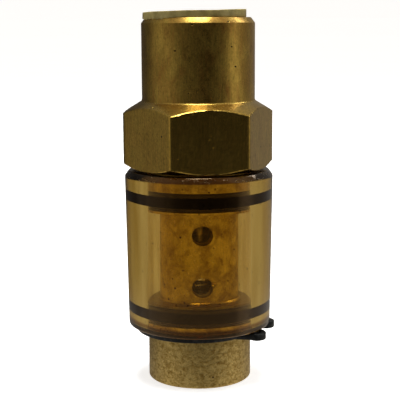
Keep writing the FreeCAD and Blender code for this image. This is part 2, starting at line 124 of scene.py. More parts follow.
def bar_brass(colours):
    """Free-machining brass bar: drawn grain along the axis, handling tarnish, pitted bare tail.

    Drawing leaves fine lines along the bar, so highlights spread sideways. The hexagon keeps the die's
    smoother skin, the part inside the sleeve stays bright and yellow with water stains and a band of
    painted shade on its lower ledge under the stem's fillet, and the tail has a blotchy, pitted skin.
    """
    material, tree, output = new_material("drawn_and_turned_brass")
    place = add(tree, "ShaderNodeTexCoord")
    height = add(tree, "ShaderNodeSeparateXYZ", {0: (place, "Object")})
    tail = add(tree, "ShaderNodeMapRange", {
        "Value": (height, "Z"), "From Min": CLIP_LOW - 0.2 * MM, "From Max": CLIP_LOW, "To Min": 1.0,
        "To Max": 0.0})
    above = add(tree, "ShaderNodeMapRange", {
        "Value": (height, "Z"), "From Min": SLEEVE_LOW, "From Max": SLEEVE_LOW + 0.1 * MM})
    below = add(tree, "ShaderNodeMapRange", {
        "Value": (height, "Z"), "From Min": SLEEVE_HIGH, "From Max": SLEEVE_HIGH + 0.2 * MM,
        "To Min": 1.0, "To Max": 0.0})
    wetted = add(tree, "ShaderNodeMath", {0: (above, 0), 1: (below, 0)}, operation="MULTIPLY")
    hex_above = add(tree, "ShaderNodeMapRange", {
        "Value": (height, "Z"), "From Min": HEX_LOW - 0.1 * MM, "From Max": HEX_LOW})
    hex_below = add(tree, "ShaderNodeMapRange", {
        "Value": (height, "Z"), "From Min": HEX_HIGH - 0.3 * MM, "From Max": HEX_HIGH + 0.1 * MM,
        "To Min": 1.0, "To Max": 0.0})
    hexagon = add(tree, "ShaderNodeMath", {0: (hex_above, 0), 1: (hex_below, 0)}, operation="MULTIPLY")
    lines_at = add(tree, "ShaderNodeMapping", {"Vector": (place, "Object"), "Scale": grain(0.22, z=14)})
    lines = add(tree, "ShaderNodeTexNoise", {
        "Vector": (lines_at, "Vector"), "Scale": 1.0, "Detail": 3.0, "Roughness": 0.55})
    fine_at = add(tree, "ShaderNodeMapping", {"Vector": (place, "Object"), "Scale": grain(0.45, z=2.2)})
    fine = add(tree, "ShaderNodeTexNoise", {
        "Vector": (fine_at, "Vector"), "Scale": 1.0, "Detail": 6.0, "Roughness": 0.65})
    blotch_at = add(tree, "ShaderNodeMapping", {
        "Vector": (place, "Object"), "Scale": grain(3.2, z=1.8)})
    blotch = add(tree, "ShaderNodeTexNoise", {
        "Vector": (blotch_at, "Vector"), "Scale": 1.0, "Detail": 3.0, "Roughness": 0.6,
        "Distortion": 0.6})
    cast_at = add(tree, "ShaderNodeMapping", {"Vector": (place, "Object"), "Scale": grain(0.8, z=0.7)})
    cast = add(tree, "ShaderNodeTexNoise", {
        "Vector": (cast_at, "Vector"), "Scale": 1.0, "Detail": 7.0, "Roughness": 0.7,
        "Distortion": 0.6})
    specks_at = add(tree, "ShaderNodeMapping", {"Vector": (place, "Object"), "Scale": grain(1.9)})
    specks = add(tree, "ShaderNodeTexVoronoi", {"Vector": (specks_at, "Vector"), "Scale": 1.0})
    pits = add(tree, "ShaderNodeMapRange", {
        "Value": (specks, "Distance"), "From Min": 0.07, "From Max": 0.12, "To Min": 1.0,
        "To Max": 0.0})
    rare_at = add(tree, "ShaderNodeMapping", {"Vector": (place, "Object"), "Scale": grain(2.6)})
    patch = add(tree, "ShaderNodeTexNoise", {
        "Vector": (rare_at, "Vector"), "Scale": 1.0, "Detail": 1.0, "Roughness": 0.55})
    rare = add(tree, "ShaderNodeMapRange", {"Value": (patch, "Fac"), "From Min": 0.49, "From Max": 0.54})
    pit_mask = add(tree, "ShaderNodeMath", {0: (pits, 0), 1: (rare, 0)}, operation="MULTIPLY")
    tone = add(tree, "ShaderNodeMapRange", {
        "Value": (blotch, "Fac"), "From Min": 0.36, "From Max": 0.66})
    hex_share = add(tree, "ShaderNodeMapRange", {"Value": (hexagon, 0), "To Min": 1.0, "To Max": 0.35})
    uneven = add(tree, "ShaderNodeMath", {0: (tone, 0), 1: (hex_share, 0)}, operation="MULTIPLY")
    base = add(tree, "ShaderNodeMix", {
        0: (uneven, 0), 6: tuple(colours.brass), 7: tuple(colours.brass_brown)}, data_type="RGBA")
    grain_tone = add(tree, "ShaderNodeMapRange", {
        "Value": (lines, "Fac"), "From Min": 0.32, "From Max": 0.7, "To Max": 0.6})
    grained = add(tree, "ShaderNodeMix", {
        0: (grain_tone, 0), 6: (base, 2), 7: tuple(colours.brass_olive)}, data_type="RGBA")
    fleck_tone = add(tree, "ShaderNodeMapRange", {
        "Value": (fine, "Fac"), "From Min": 0.56, "From Max": 0.72, "To Max": 0.6})
    flecked = add(tree, "ShaderNodeMix", {
        0: (fleck_tone, 0), 6: (grained, 2), 7: tuple(colours.brass_dark)}, data_type="RGBA")
    stain_at = add(tree, "ShaderNodeMapping", {"Vector": (place, "Object"), "Scale": grain(2.3, z=1.1)})
    stain = add(tree, "ShaderNodeTexNoise", {
        "Vector": (stain_at, "Vector"), "Scale": 1.0, "Detail": 5.0, "Roughness": 0.6,
        "Distortion": 0.4})
    stain_tone = add(tree, "ShaderNodeMapRange", {
        "Value": (stain, "Fac"), "From Min": 0.42, "From Max": 0.66, "To Max": 0.85})
    bright = add(tree, "ShaderNodeMix", {
        0: (stain_tone, 0), 6: tuple(colours.brass_wetted),
        7: tuple(colours.brass_stain)}, data_type="RGBA")
    # Painted shade: a darker band of brass_dark on the lower ledge, just under the stem's fillet.
    ledge_above = add(tree, "ShaderNodeMapRange", {
        "Value": (height, "Z"), "From Min": LEDGE, "From Max": LEDGE + 0.1 * MM, "To Max": 0.8})
    ledge_below = add(tree, "ShaderNodeMapRange", {
        "Value": (height, "Z"), "From Min": LEDGE + 0.5 * MM, "From Max": LEDGE + 0.8 * MM,
        "To Min": 1.0, "To Max": 0.0})
    ledge_shade = add(tree, "ShaderNodeMath", {0: (ledge_above, 0), 1: (ledge_below, 0)}, operation="MULTIPLY")
    ledge_shaded = add(tree, "ShaderNodeMix", {
        0: (ledge_shade, 0), 6: (bright, 2), 7: tuple(colours.brass_dark)}, data_type="RGBA")
    cast_tone = add(tree, "ShaderNodeMapRange", {
        "Value": (cast, "Fac"), "From Min": 0.4, "From Max": 0.66})
    cast_colour = add(tree, "ShaderNodeMix", {
        0: (cast_tone, 0), 6: tuple(colours.brass_tail),
        7: tuple(colours.brass_blotch)}, data_type="RGBA")
    inside = add(tree, "ShaderNodeMix", {
        0: (wetted, 0), 6: (flecked, 2), 7: (ledge_shaded, 2)}, data_type="RGBA")
    skin = add(tree, "ShaderNodeMix", {
        0: (tail, 0), 6: (inside, 2), 7: (cast_colour, 2)}, data_type="RGBA")
    grit_at = add(tree, "ShaderNodeMapping", {"Vector": (place, "Object"), "Scale": grain(0.3, z=1.4)})
    grit = add(tree, "ShaderNodeTexNoise", {
        "Vector": (grit_at, "Vector"), "Scale": 1.0, "Detail": 3.0, "Roughness": 0.7})
    grit_tone = add(tree, "ShaderNodeMapRange", {
        "Value": (grit, "Fac"), "From Min": 0.3, "From Max": 0.7, "To Min": 0.74, "To Max": 1.16})
    gritty = add(tree, "ShaderNodeMix", {
        0: 1.0, 6: (skin, 2), 7: (grit_tone, 0)}, data_type="RGBA", blend_type="MULTIPLY")
    pitted = add(tree, "ShaderNodeMix", {
        0: (pit_mask, 0), 6: (gritty, 2), 7: tuple(colours.brass_pit)}, data_type="RGBA")
    rough_bar = add(tree, "ShaderNodeMapRange", {
        "Value": (fine, "Fac"), "From Min": 0.3, "From Max": 0.75, "To Min": 0.25, "To Max": 0.4})
    rough_hex = add(tree, "ShaderNodeMapRange", {
        "Value": (fine, "Fac"), "From Min": 0.3, "From Max": 0.75, "To Min": 0.17, "To Max": 0.27})
    rough_tail = add(tree, "ShaderNodeMapRange", {
        "Value": (cast, "Fac"), "From Min": 0.3, "From Max": 0.7, "To Min": 0.36, "To Max": 0.56})
    rough = add(tree, "ShaderNodeMix", {0: (hexagon, 0), 2: (rough_bar, 0), 3: (rough_hex, 0)})
    rough = add(tree, "ShaderNodeMix", {0: (tail, 0), 2: (rough, 0), 3: (rough_tail, 0)})
    bar_relief = add(tree, "ShaderNodeBump", {"Height": (lines, "Fac"), "Strength": 0.25,
                                              "Distance": 0.01 * MM})
    cast_share = add(tree, "ShaderNodeMath", {0: (tail, 0), 1: (cast, "Fac")}, operation="MULTIPLY")
    cast_relief = add(tree, "ShaderNodeBump", {"Height": (cast_share, 0), "Strength": 0.8,
                                               "Distance": 0.14 * MM, "Normal": (bar_relief, 0)})
    relief = add(tree, "ShaderNodeBump", {"Height": (pit_mask, 0), "Strength": 0.7, "Distance": -0.08 * MM,
                                          "Normal": (cast_relief, 0)})
    shader = add(tree, "ShaderNodeBsdfPrincipled", {
        "Base Color": (pitted, 2), "Metallic": 1.0, "Roughness": (rough, 0), "Normal": (relief, 0)})
    tree.links.new(shader.outputs[0], output.inputs[0])
    return material


def turned_metal(name, light, dark, roughness, mark_mm=0.12, metallic=1.0):
    """Metal off the lathe: fine rings round the axis from the tool's feed, with faint stains."""
    material, tree, output = new_material(name)
    place = add(tree, "ShaderNodeTexCoord")
    rings_at = add(tree, "ShaderNodeMapping", {
        "Vector": (place, "Object"), "Scale": grain(mark_mm, x=40, y=40)})
    rings = add(tree, "ShaderNodeTexNoise", {
        "Vector": (rings_at, "Vector"), "Scale": 1.0, "Detail": 2.0, "Roughness": 0.55})
    stain_at = add(tree, "ShaderNodeMapping", {"Vector": (place, "Object"), "Scale": grain(1.4)})
    stain = add(tree, "ShaderNodeTexNoise", {
        "Vector": (stain_at, "Vector"), "Scale": 1.0, "Detail": 5.0, "Roughness": 0.6})
    tone = add(tree, "ShaderNodeMapRange", {"Value": (stain, "Fac"), "From Min": 0.35, "From Max": 0.7})
    colour = add(tree, "ShaderNodeMix", {
        0: (tone, 0), 6: tuple(light), 7: tuple(dark)}, data_type="RGBA")
    rough = add(tree, "ShaderNodeMapRange", {
        "Value": (stain, "Fac"), "From Min": 0.3, "From Max": 0.75, "To Min": roughness,
        "To Max": roughness + 0.16})
    relief = add(tree, "ShaderNodeBump", {
        "Height": (rings, "Fac"), "Strength": 0.35, "Distance": 0.01 * MM})
    shader = add(tree, "ShaderNodeBsdfPrincipled", {
        "Base Color": (colour, 2), "Metallic": metallic, "Roughness": (rough, 0), "Normal": (relief, 0)})
    tree.links.new(shader.outputs[0], output.inputs[0])
    return material


def amber_plastic(colours):
    """Clear amber moulded plastic, tinted through its depth: flow streaks along the sleeve, a scuffed
    upper edge where the hexagon's shoulder rubs, painted brown shade on that edge and on the lower end,
    fine scratches and a few caught specks."""
    material, tree, output = new_material("moulded_amber_plastic")
    place = add(tree, "ShaderNodeTexCoord")
    height = add(tree, "ShaderNodeSeparateXYZ", {0: (place, "Object")})
    edge = add(tree, "ShaderNodeMapRange", {
        "Value": (height, "Z"), "From Min": SLEEVE_HIGH - 1.15 * MM,
        "From Max": SLEEVE_HIGH - 0.95 * MM})
    waves_at = add(tree, "ShaderNodeMapping", {"Vector": (place, "Object"), "Scale": grain(3.0, z=7)})
    waves = add(tree, "ShaderNodeTexNoise", {
        "Vector": (waves_at, "Vector"), "Scale": 1.0, "Detail": 1.0, "Roughness": 0.5})
    streaks_at = add(tree, "ShaderNodeMapping", {
        "Vector": (place, "Object"), "Scale": grain(2.6, z=7)})
    streaks = add(tree, "ShaderNodeTexNoise", {
        "Vector": (streaks_at, "Vector"), "Scale": 1.0, "Detail": 2.0, "Roughness": 0.5})
    scratches_at = add(tree, "ShaderNodeMapping", {
        "Vector": (place, "Object"), "Scale": grain(0.16, z=0.8)})
    scratches = add(tree, "ShaderNodeTexNoise", {
        "Vector": (scratches_at, "Vector"), "Scale": 1.0, "Detail": 4.0, "Roughness": 0.7,
        "Distortion": 0.8})
    specks_at = add(tree, "ShaderNodeMapping", {"Vector": (place, "Object"), "Scale": grain(2.4)})
    specks = add(tree, "ShaderNodeTexVoronoi", {"Vector": (specks_at, "Vector"), "Scale": 1.0})
    dots = add(tree, "ShaderNodeMapRange", {
        "Value": (specks, "Distance"), "From Min": 0.06, "From Max": 0.11, "To Min": 0.85,
        "To Max": 0.0})
    streak_tone = add(tree, "ShaderNodeMapRange", {
        "Value": (streaks, "Fac"), "From Min": 0.4, "From Max": 0.7})
    tinted = add(tree, "ShaderNodeMix", {
        0: (streak_tone, 0), 6: tuple(colours.sleeve_surface),
        7: tuple(colours.sleeve_streak)}, data_type="RGBA")
    patches_at = add(tree, "ShaderNodeMapping", {
        "Vector": (place, "Object"), "Scale": grain(1.5, x=1.6, y=1.6, z=0.5)})
    patches = add(tree, "ShaderNodeTexNoise", {
        "Vector": (patches_at, "Vector"), "Scale": 1.0, "Detail": 4.0, "Roughness": 0.75,
        "Distortion": 0.7})
    # Painted shade: the upper edge band is tinted dark brown, pale where the scuffs rub it bare. The
    # scuffs' roughness and bumps are real.
    bare = add(tree, "ShaderNodeMapRange", {
        "Value": (patches, "Fac"), "From Min": 0.6, "From Max": 0.66})
    rubbed_edge_shade = add(tree, "ShaderNodeMix", {
        0: (bare, 0), 6: tuple(colours.sleeve_edge_shade), 7: linear("fff2c8")}, data_type="RGBA")
    # Painted shade: the sleeve's lower end is tinted dark brown where it sits over the retaining ring.
    foot = add(tree, "ShaderNodeMapRange", {
        "Value": (height, "Z"), "From Min": SLEEVE_LOW + 0.6 * MM, "From Max": SLEEVE_LOW + 0.95 * MM,
        "To Min": 1.0, "To Max": 0.0})
    foot_shaded = add(tree, "ShaderNodeMix", {
        0: (foot, 0), 6: (tinted, 2), 7: tuple(colours.sleeve_foot_shade)}, data_type="RGBA")
    shaded_ends = add(tree, "ShaderNodeMix", {0: (edge, 0), 6: (foot_shaded, 2), 7: (rubbed_edge_shade, 2)}, data_type="RGBA")
    speckled = add(tree, "ShaderNodeMix", {
        0: (dots, 0), 6: (shaded_ends, 2), 7: linear("3a2a10")}, data_type="RGBA")
    haze = add(tree, "ShaderNodeMapRange", {
        "Value": (streaks, "Fac"), "From Min": 0.4, "From Max": 0.75, "To Min": 0.03, "To Max": 0.07})
    scuff = add(tree, "ShaderNodeMapRange", {
        "Value": (patches, "Fac"), "From Min": 0.55, "From Max": 0.66, "To Min": 0.08, "To Max": 0.45})
    rough = add(tree, "ShaderNodeMix", {0: (edge, 0), 2: (haze, 0), 3: (scuff, 0)})
    flow = add(tree, "ShaderNodeBump", {"Height": (waves, "Fac"), "Strength": 0.1, "Distance": 0.1 * MM})
    gouged = add(tree, "ShaderNodeMath", {0: (edge, 0), 1: (bare, 0)}, operation="MULTIPLY")
    scuffed = add(tree, "ShaderNodeMath", {0: (gouged, 0), 1: (scratches, "Fac")}, operation="MULTIPLY")
    relief = add(tree, "ShaderNodeBump", {"Height": (scuffed, 0), "Strength": 0.8, "Distance": 0.08 * MM,
                                          "Normal": (flow, 0)})
    shader = add(tree, "ShaderNodeBsdfPrincipled", {
        "Base Color": (speckled, 2), "Roughness": (rough, 0), "IOR": 1.58,
        "Transmission Weight": 1.0, "Normal": (relief, 0), "Specular Tint": linear("f2c890")})
    depth = add(tree, "ShaderNodeVolumeAbsorption", {
        "Color": tuple(colours.sleeve_depth), "Density": 300.0})
    tree.links.new(shader.outputs[0], output.inputs[0])
    tree.links.new(depth.outputs[0], output.inputs[1])
    return material


def moulded_rubber(name, colour, grit_mm=0.2):
    """Black nitrile rubber, matt from its mould, with a little dust."""
    material, tree, output = new_material(name)
    place = add(tree, "ShaderNodeTexCoord")
    grit_at = add(tree, "ShaderNodeMapping", {"Vector": (place, "Object"), "Scale": grain(grit_mm)})
    grit = add(tree, "ShaderNodeTexNoise", {
        "Vector": (grit_at, "Vector"), "Scale": 1.0, "Detail": 5.0, "Roughness": 0.7})
    dust_at = add(tree, "ShaderNodeMapping", {"Vector": (place, "Object"), "Scale": grain(1.1)})
    dust = add(tree, "ShaderNodeTexNoise", {
        "Vector": (dust_at, "Vector"), "Scale": 1.0, "Detail": 4.0, "Roughness": 0.55})
    tone = add(tree, "ShaderNodeMapRange", {
        "Value": (dust, "Fac"), "From Min": 0.55, "From Max": 0.8, "To Max": 0.25})
    shade = add(tree, "ShaderNodeMix", {
        0: (tone, 0), 6: tuple(colour), 7: linear("4a3f30")}, data_type="RGBA")
    rough = add(tree, "ShaderNodeMapRange", {
        "Value": (grit, "Fac"), "From Min": 0.3, "From Max": 0.7, "To Min": 0.42, "To Max": 0.62})
    relief = add(tree, "ShaderNodeBump", {"Height": (grit, "Fac"), "Strength": 0.3, "Distance": 0.02 * MM})
    shader = add(tree, "ShaderNodeBsdfPrincipled", {
        "Base Color": (shade, 2), "Roughness": (rough, 0), "Normal": (relief, 0),
        "Specular IOR Level": 0.06})
    tree.links.new(shader.outputs[0], output.inputs[0])
    return material


def phosphated_steel(colours):
    """Spring steel strip, black phosphated and oiled: fine crystalline grit with a dull sheen."""
    material, tree, output = new_material("black_phosphated_spring_steel")
    place = add(tree, "ShaderNodeTexCoord")
    crystals_at = add(tree, "ShaderNodeMapping", {"Vector": (place, "Object"), "Scale": grain(0.12)})
    crystals = add(tree, "ShaderNodeTexNoise", {
        "Vector": (crystals_at, "Vector"), "Scale": 1.0, "Detail": 6.0, "Roughness": 0.7})
    wear_at = add(tree, "ShaderNodeMapping", {"Vector": (place, "Object"), "Scale": grain(0.9)})
    wear = add(tree, "ShaderNodeTexNoise", {
        "Vector": (wear_at, "Vector"), "Scale": 1.0, "Detail": 4.0, "Roughness": 0.6})
    tone = add(tree, "ShaderNodeMapRange", {
        "Value": (wear, "Fac"), "From Min": 0.5, "From Max": 0.75, "To Max": 0.6})
    shade = add(tree, "ShaderNodeMix", {
        0: (tone, 0), 6: tuple(colours.clip), 7: linear("4b4f50")}, data_type="RGBA")
    rough = add(tree, "ShaderNodeMapRange", {
        "Value": (crystals, "Fac"), "From Min": 0.3, "From Max": 0.7, "To Min": 0.34, "To Max": 0.55})
    relief = add(tree, "ShaderNodeBump", {"Height": (crystals, "Fac"), "Strength": 0.5,
                                          "Distance": 0.02 * MM})
    shader = add(tree, "ShaderNodeBsdfPrincipled", {
        "Base Color": (shade, 2), "Metallic": 0.6, "Roughness": (rough, 0), "Normal": (relief, 0)})
    tree.links.new(shader.outputs[0], output.inputs[0])
    return material


def nylon(colours):
    """Natural nylon, cut from tube: milky and slightly translucent, scuffed by the spanner's pull."""
    material, tree, output = new_material("natural_nylon")
    place = add(tree, "ShaderNodeTexCoord")
    cloud_at = add(tree, "ShaderNodeMapping", {"Vector": (place, "Object"), "Scale": grain(1.6)})
    cloud = add(tree, "ShaderNodeTexNoise", {
        "Vector": (cloud_at, "Vector"), "Scale": 1.0, "Detail": 4.0, "Roughness": 0.6})
    scuff_at = add(tree, "ShaderNodeMapping", {"Vector": (place, "Object"), "Scale": grain(0.3, z=0.5)})
    scuff = add(tree, "ShaderNodeTexNoise", {
        "Vector": (scuff_at, "Vector"), "Scale": 1.0, "Detail": 5.0, "Roughness": 0.7})
    tone = add(tree, "ShaderNodeMapRange", {
        "Value": (cloud, "Fac"), "From Min": 0.35, "From Max": 0.68})
    milk = add(tree, "ShaderNodeMix", {
        0: (tone, 0), 6: tuple(colours.nylon_light), 7: tuple(colours.nylon_dark)}, data_type="RGBA")
    dirt = add(tree, "ShaderNodeMapRange", {
        "Value": (scuff, "Fac"), "From Min": 0.6, "From Max": 0.78, "To Max": 0.5})
    soiled = add(tree, "ShaderNodeMix", {
        0: (dirt, 0), 6: (milk, 2), 7: linear("3d3a20")}, data_type="RGBA")
    rough = add(tree, "ShaderNodeMapRange", {
        "Value": (scuff, "Fac"), "From Min": 0.3, "From Max": 0.7, "To Min": 0.3, "To Max": 0.5})
    relief = add(tree, "ShaderNodeBump", {"Height": (scuff, "Fac"), "Strength": 0.5, "Distance": 0.06 * MM})
    shader = add(tree, "ShaderNodeBsdfPrincipled", {
        "Base Color": (soiled, 2), "Roughness": (rough, 0), "IOR": 1.53, "Normal": (relief, 0),
        "Subsurface Weight": 0.25, "Subsurface Radius": (1.0, 0.8, 0.4), "Subsurface Scale": 0.4 * MM})
    tree.links.new(shader.outputs[0], output.inputs[0])
    return material


# ---- surfaces ----------------------------------------------------------------------------------

def soften(corners, radius, steps=3, closed=False):
    """Rounds a polyline's corners: each becomes the quadratic curve through it, cut back by the radius.

    The cut is at most 0.45 of the shorter neighbouring run. Points are (radius, height) rows.
    """
    points = np.array(corners, float)
    before, after = np.roll(points, 1, axis=0), np.roll(points, -1, axis=0)
    to_before, to_after = before - points, after - points
    long_before = np.linalg.norm(to_before, axis=1, keepdims=True)
    long_after = np.linalg.norm(to_after, axis=1, keepdims=True)
    cut = np.minimum(radius, 0.45 * np.minimum(long_before, long_after))
    start = points + to_before / long_before * cut
    end = points + to_after / long_after * cut
    t = np.linspace(0, 1, steps + 1)[None, :, None]
    curves = (1 - t) ** 2 * start[:, None] + 2 * t * (1 - t) * points[:, None] + t ** 2 * end[:, None]
    if closed:
        return curves.reshape(-1, 2)
    return np.vstack([points[:1], curves[1:-1].reshape(-1, 2), points[-1:]])


def grid_faces(rows, columns, wrap_rows=False, wrap_columns=True):
    """Quads of a grid whose vertices run column by column along each row."""
    r = np.arange(rows if wrap_rows else rows - 1)
    c = np.arange(columns if wrap_columns else columns - 1)
    r0, c0 = np.meshgrid(r, c, indexing="ij")
    r1, c1 = (r0 + 1) % rows, (c0 + 1) % columns
    quads = np.stack([r0 * columns + c0, r0 * columns + c1, r1 * columns + c1, r1 * columns + c0], -1)
    return quads.reshape(-1, 4)


def swept_round(radius, height, angles):
    """Surface of revolution: row i lies at radius[i] (a number or one per angle) and height[i]."""
    radius = np.broadcast_to(np.asarray(radius, float).reshape(len(height), -1), (len(height), len(angles)))
    height = np.broadcast_to(np.asarray(height, float)[:, None], radius.shape)
    points = np.stack([radius * np.cos(angles), radius * np.sin(angles), height], -1)
    return points.reshape(-1, 3)


def lathe(profile, angles, closed=False):
    """Revolves a (radius, height) profile about the axis. Returns (vertices, quads)."""
    profile = np.asarray(profile, float)
    points = swept_round(profile[:, 0], profile[:, 1], angles)
    return points, grid_faces(len(profile), len(angles), wrap_rows=closed)


def even_angles(count):
    """Evenly spaced angles once round."""
    return np.arange(count) / count * TURN


def tube(path, radius, sides=8, closed=False):
    """Round wire along a path: a circle carried on a frame of the path's tangent and a near-constant up.

    Open ends are closed with a pole drawn in to the path's end point.
    """
    path = np.asarray(path, float)
    if closed:
        ahead = np.roll(path, -1, axis=0) - np.roll(path, 1, axis=0)
    else:
        ahead = np.gradient(path, axis=0)
    ahead /= np.linalg.norm(ahead, axis=1, keepdims=True)
    hint = np.where(np.abs(ahead[:, 2:3]) > 0.9, np.array([1.0, 0.0, 0.0]), np.array([0.0, 0.0, 1.0]))
    side = np.cross(hint, ahead)
    side /= np.linalg.norm(side, axis=1, keepdims=True)
    up = np.cross(ahead, side)
    turn = even_angles(sides)
    circle = side[:, None] * np.cos(turn)[:, None] + up[:, None] * np.sin(turn)[:, None]
    scale = np.full(len(path), radius)
    if not closed:
        path = np.vstack([path[:1], path, path[-1:]])
        circle = np.concatenate([circle[:1], circle, circle[-1:]])
        scale = np.concatenate([[0], scale, [0]])
    points = path[:, None] + circle * scale[:, None, None]
    return points.reshape(-1, 3), grid_faces(len(path), sides, wrap_rows=closed)


def make_piece(name, surfaces, material, body, nodes, sharp_deg=35.0, weld_mm=0.0005):
    """Joins surfaces into one welded, outward-facing mesh object and files it with the frame."""
    counts = np.cumsum([0] + [len(points) for points, _ in surfaces])
    points = np.vstack([p for p, _ in surfaces])
    quads = np.vstack([faces + first for (_, faces), first in zip(surfaces, counts)])
    mesh = bpy.data.meshes.new(name)
    mesh.vertices.add(len(points))
    mesh.vertices.foreach_set("co", points.astype(np.float32).ravel())
    mesh.loops.add(quads.size)
    mesh.loops.foreach_set("vertex_index", quads.astype(np.int32).ravel())
    mesh.polygons.add(len(quads))
    mesh.polygons.foreach_set("loop_start", np.arange(0, quads.size, 4, dtype=np.int32))
    mesh.update(calc_edges=True)
    mesh.validate()
    work = bmesh.new()
    work.from_mesh(mesh)
    bmesh.ops.remove_doubles(work, verts=work.verts, dist=weld_mm * MM)
    bmesh.ops.dissolve_degenerate(work, edges=work.edges, dist=weld_mm * MM)
    bmesh.ops.recalc_face_normals(work, faces=work.faces)
    work.to_mesh(mesh)
    work.free()
    return file_piece(bpy.data.objects.new(name, mesh), material, body, nodes, sharp_deg)


def file_piece(piece, material, body, nodes, sharp_deg):
    """Links a finished object, gives it its material, shades it, parents it to its body's empty and hides
    the imported parts it stands for. A piece with no body is left without a parent."""
    bpy.context.scene.collection.objects.link(piece)
    piece.data.materials.append(material)
    piece.data.shade_smooth()
    piece.data.set_sharp_from_angle(angle=math.radians(sharp_deg))
    if body:
        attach(piece, body)
    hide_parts(*nodes)
    return piece


def body_angles(sizes):
    """Angles round the body: even steps from a hexagon corner, with a close pair beside each corner."""
    first = sizes.hex_angle
    even = first + np.arange(180) / 180 * TURN
    corners = first + np.arange(6) / 6 * TURN
    close = math.radians(0.3)
    return np.sort(np.concatenate([even, corners + close, corners + TURN / 6 - close]))


def hexagon_radius(angles, sizes):
    """Distance from the axis to the hexagon's flats, its corners eased by a hair."""
    turned = np.mod(angles - sizes.hex_angle, TURN / 6) - TURN / 12
    reach = sizes.hex_across_flats / 2 / np.cos(turned)
    corner = sizes.hex_across_flats / 2 / math.cos(TURN / 12)
    return np.minimum(reach, corner - 0.06 * MM)


def hexagon_surface(sizes, angles, low, high):
    """Hexagon as one height field: at each height the smallest of the flats and the two end cones."""
    head = sizes.head_diameter / 2
    base = sizes.hex_across_flats / 2 - 0.05 * MM
    top_slope = math.tan(math.radians(31))
    base_slope = math.tan(math.radians(28))
    ends = [np.linspace(0, 2.1, 22), np.linspace(2.3, 9.2, 6), np.linspace(9.3, 12.3, 30)]
    root = 0.12 * MM
    height = low + np.concatenate(ends) / 12.3 * (high - root - low)
    flats = hexagon_radius(angles, sizes)[None, :]
    top_cone = (head + (high - height) / top_slope)[:, None]
    base_cone = (base + (height - low) / base_slope)[:, None]
    radius = np.minimum(np.minimum(flats, top_cone), base_cone)
    return swept_round(radius, height, angles), grid_faces(len(height), len(angles))


def thread_surface(angles, low, high, sizes):
    """Internal pipe thread: the wall's radius falls by a clipped triangle wave of one pitch per turn.

    The wave climbs one pitch each time round and fades out near both ends of the threaded length.
    """
    rows = int(round((high - low) / sizes.thread_pitch * 9)) + 1
    height = np.linspace(low, high, rows)
    turns = (angles - angles[0]) / TURN
    phase = np.mod(height[:, None] / sizes.thread_pitch - turns[None, :], 1.0)
    ridge = np.clip((1 - np.abs(2 * phase - 1) - 0.14) / 0.7, 0, 1)
    fade = np.clip(np.minimum(height - low, high - height) / (0.7 * MM), 0, 1)[:, None]
    radius = sizes.port_diameter / 2 - sizes.thread_depth * ridge * fade
    return swept_round(radius, height, angles), grid_faces(rows, len(angles))


def hole_edge(hole, wall, tilt, height, around):
    """Where a round hole meets a round wall: across and up follow the hole's circle, and the distance
    out is what keeps the point on the wall."""
    across, up = hole * np.cos(around), hole * np.sin(around)
    out = np.sqrt(np.maximum(wall ** 2 - across ** 2, 0))
    x = out * math.cos(tilt) - across * math.sin(tilt)
    y = out * math.sin(tilt) + across * math.cos(tilt)
    return np.stack([x, y, height + up], -1)


def drilled_wall(angles, wall, low, high, rows_at, hole, tilt, half_height, spread, patch_rows=26):
    """Round wall with drilled holes: a grid with a window left out round each hole, filled by rings that
    run from the window's border to the hole's edge. Returns the surfaces and each hole's directions.
    """
    levels = [low]
    for row in rows_at:
        levels.extend(np.linspace(row - half_height, row + half_height, patch_rows + 1))
    levels = np.array(levels + [high])
    count = len(angles)
    points = swept_round(np.full(len(levels), wall), levels, angles)
    quads = grid_faces(len(levels), count)
    keep = np.ones(len(quads), bool)
    row_of, column_of = np.divmod(np.arange(len(quads)), count)
    surfaces, borders = [], []
    for side in (0.0, math.pi):
        aim = tilt + side
        offset = np.mod(angles - aim + math.pi, TURN) - math.pi
        inside = np.flatnonzero(np.abs(offset) < spread)
        columns = inside[np.argsort(offset[inside])]
        for number, row in enumerate(rows_at):
            first = 1 + number * (patch_rows + 1)
            window = np.isin(column_of, columns[:-1]) & (row_of >= first) & (row_of < first + patch_rows)
            keep &= ~window
            across = offset[columns]
            up = levels[first:first + patch_rows + 1] - row
            border = np.concatenate([
                np.stack([across[:-1], np.full(len(across) - 1, up[0])], -1),
                np.stack([np.full(len(up) - 1, across[-1]), up[:-1]], -1),
                np.stack([across[:0:-1], np.full(len(across) - 1, up[-1])], -1),
                np.stack([np.full(len(up) - 1, across[0]), up[:0:-1]], -1),
            ])
            around = np.arctan2(border[:, 1] / half_height, border[:, 0] / across[-1])
            edge = np.stack([np.arcsin(np.clip(hole * np.cos(around) / wall, -1, 1)),
                             hole * np.sin(around)], -1)
            share = (np.linspace(0, 1, 8) ** 0.7)[:, None, None]
            ring = border[None] * (1 - share) + edge[None] * share
            turned = aim + ring[..., 0]
            patch = np.stack([wall * np.cos(turned), wall * np.sin(turned), row + ring[..., 1]], -1)
            patch_count = patch.shape[1]
            surfaces.append((patch.reshape(-1, 3), grid_faces(len(patch), patch_count)))
            borders.append((aim, row, around))
    surfaces.append((points, quads[keep]))
    return surfaces, borders


def hole_walls(borders, outer, inner, hole, edge):
    """Walls of the drilled holes, between the outer and the inner round wall, with broken edges."""
    surfaces = []
    for aim, row, around in borders:
        rings = [hole_edge(hole + edge, outer, aim, row, around),
                 hole_edge(hole + edge * 0.3, outer - edge * 0.3, aim, row, around),
                 hole_edge(hole, outer - edge, aim, row, around),
                 hole_edge(hole, (outer + inner) / 2, aim, row, around),
                 hole_edge(hole, inner, aim, row, around)]
        points = np.stack(rings)
        surfaces.append((points.reshape(-1, 3), grid_faces(len(rings), len(around))))
    return surfaces


# ---- sizes and colours a user would change -----------------------------------------------------

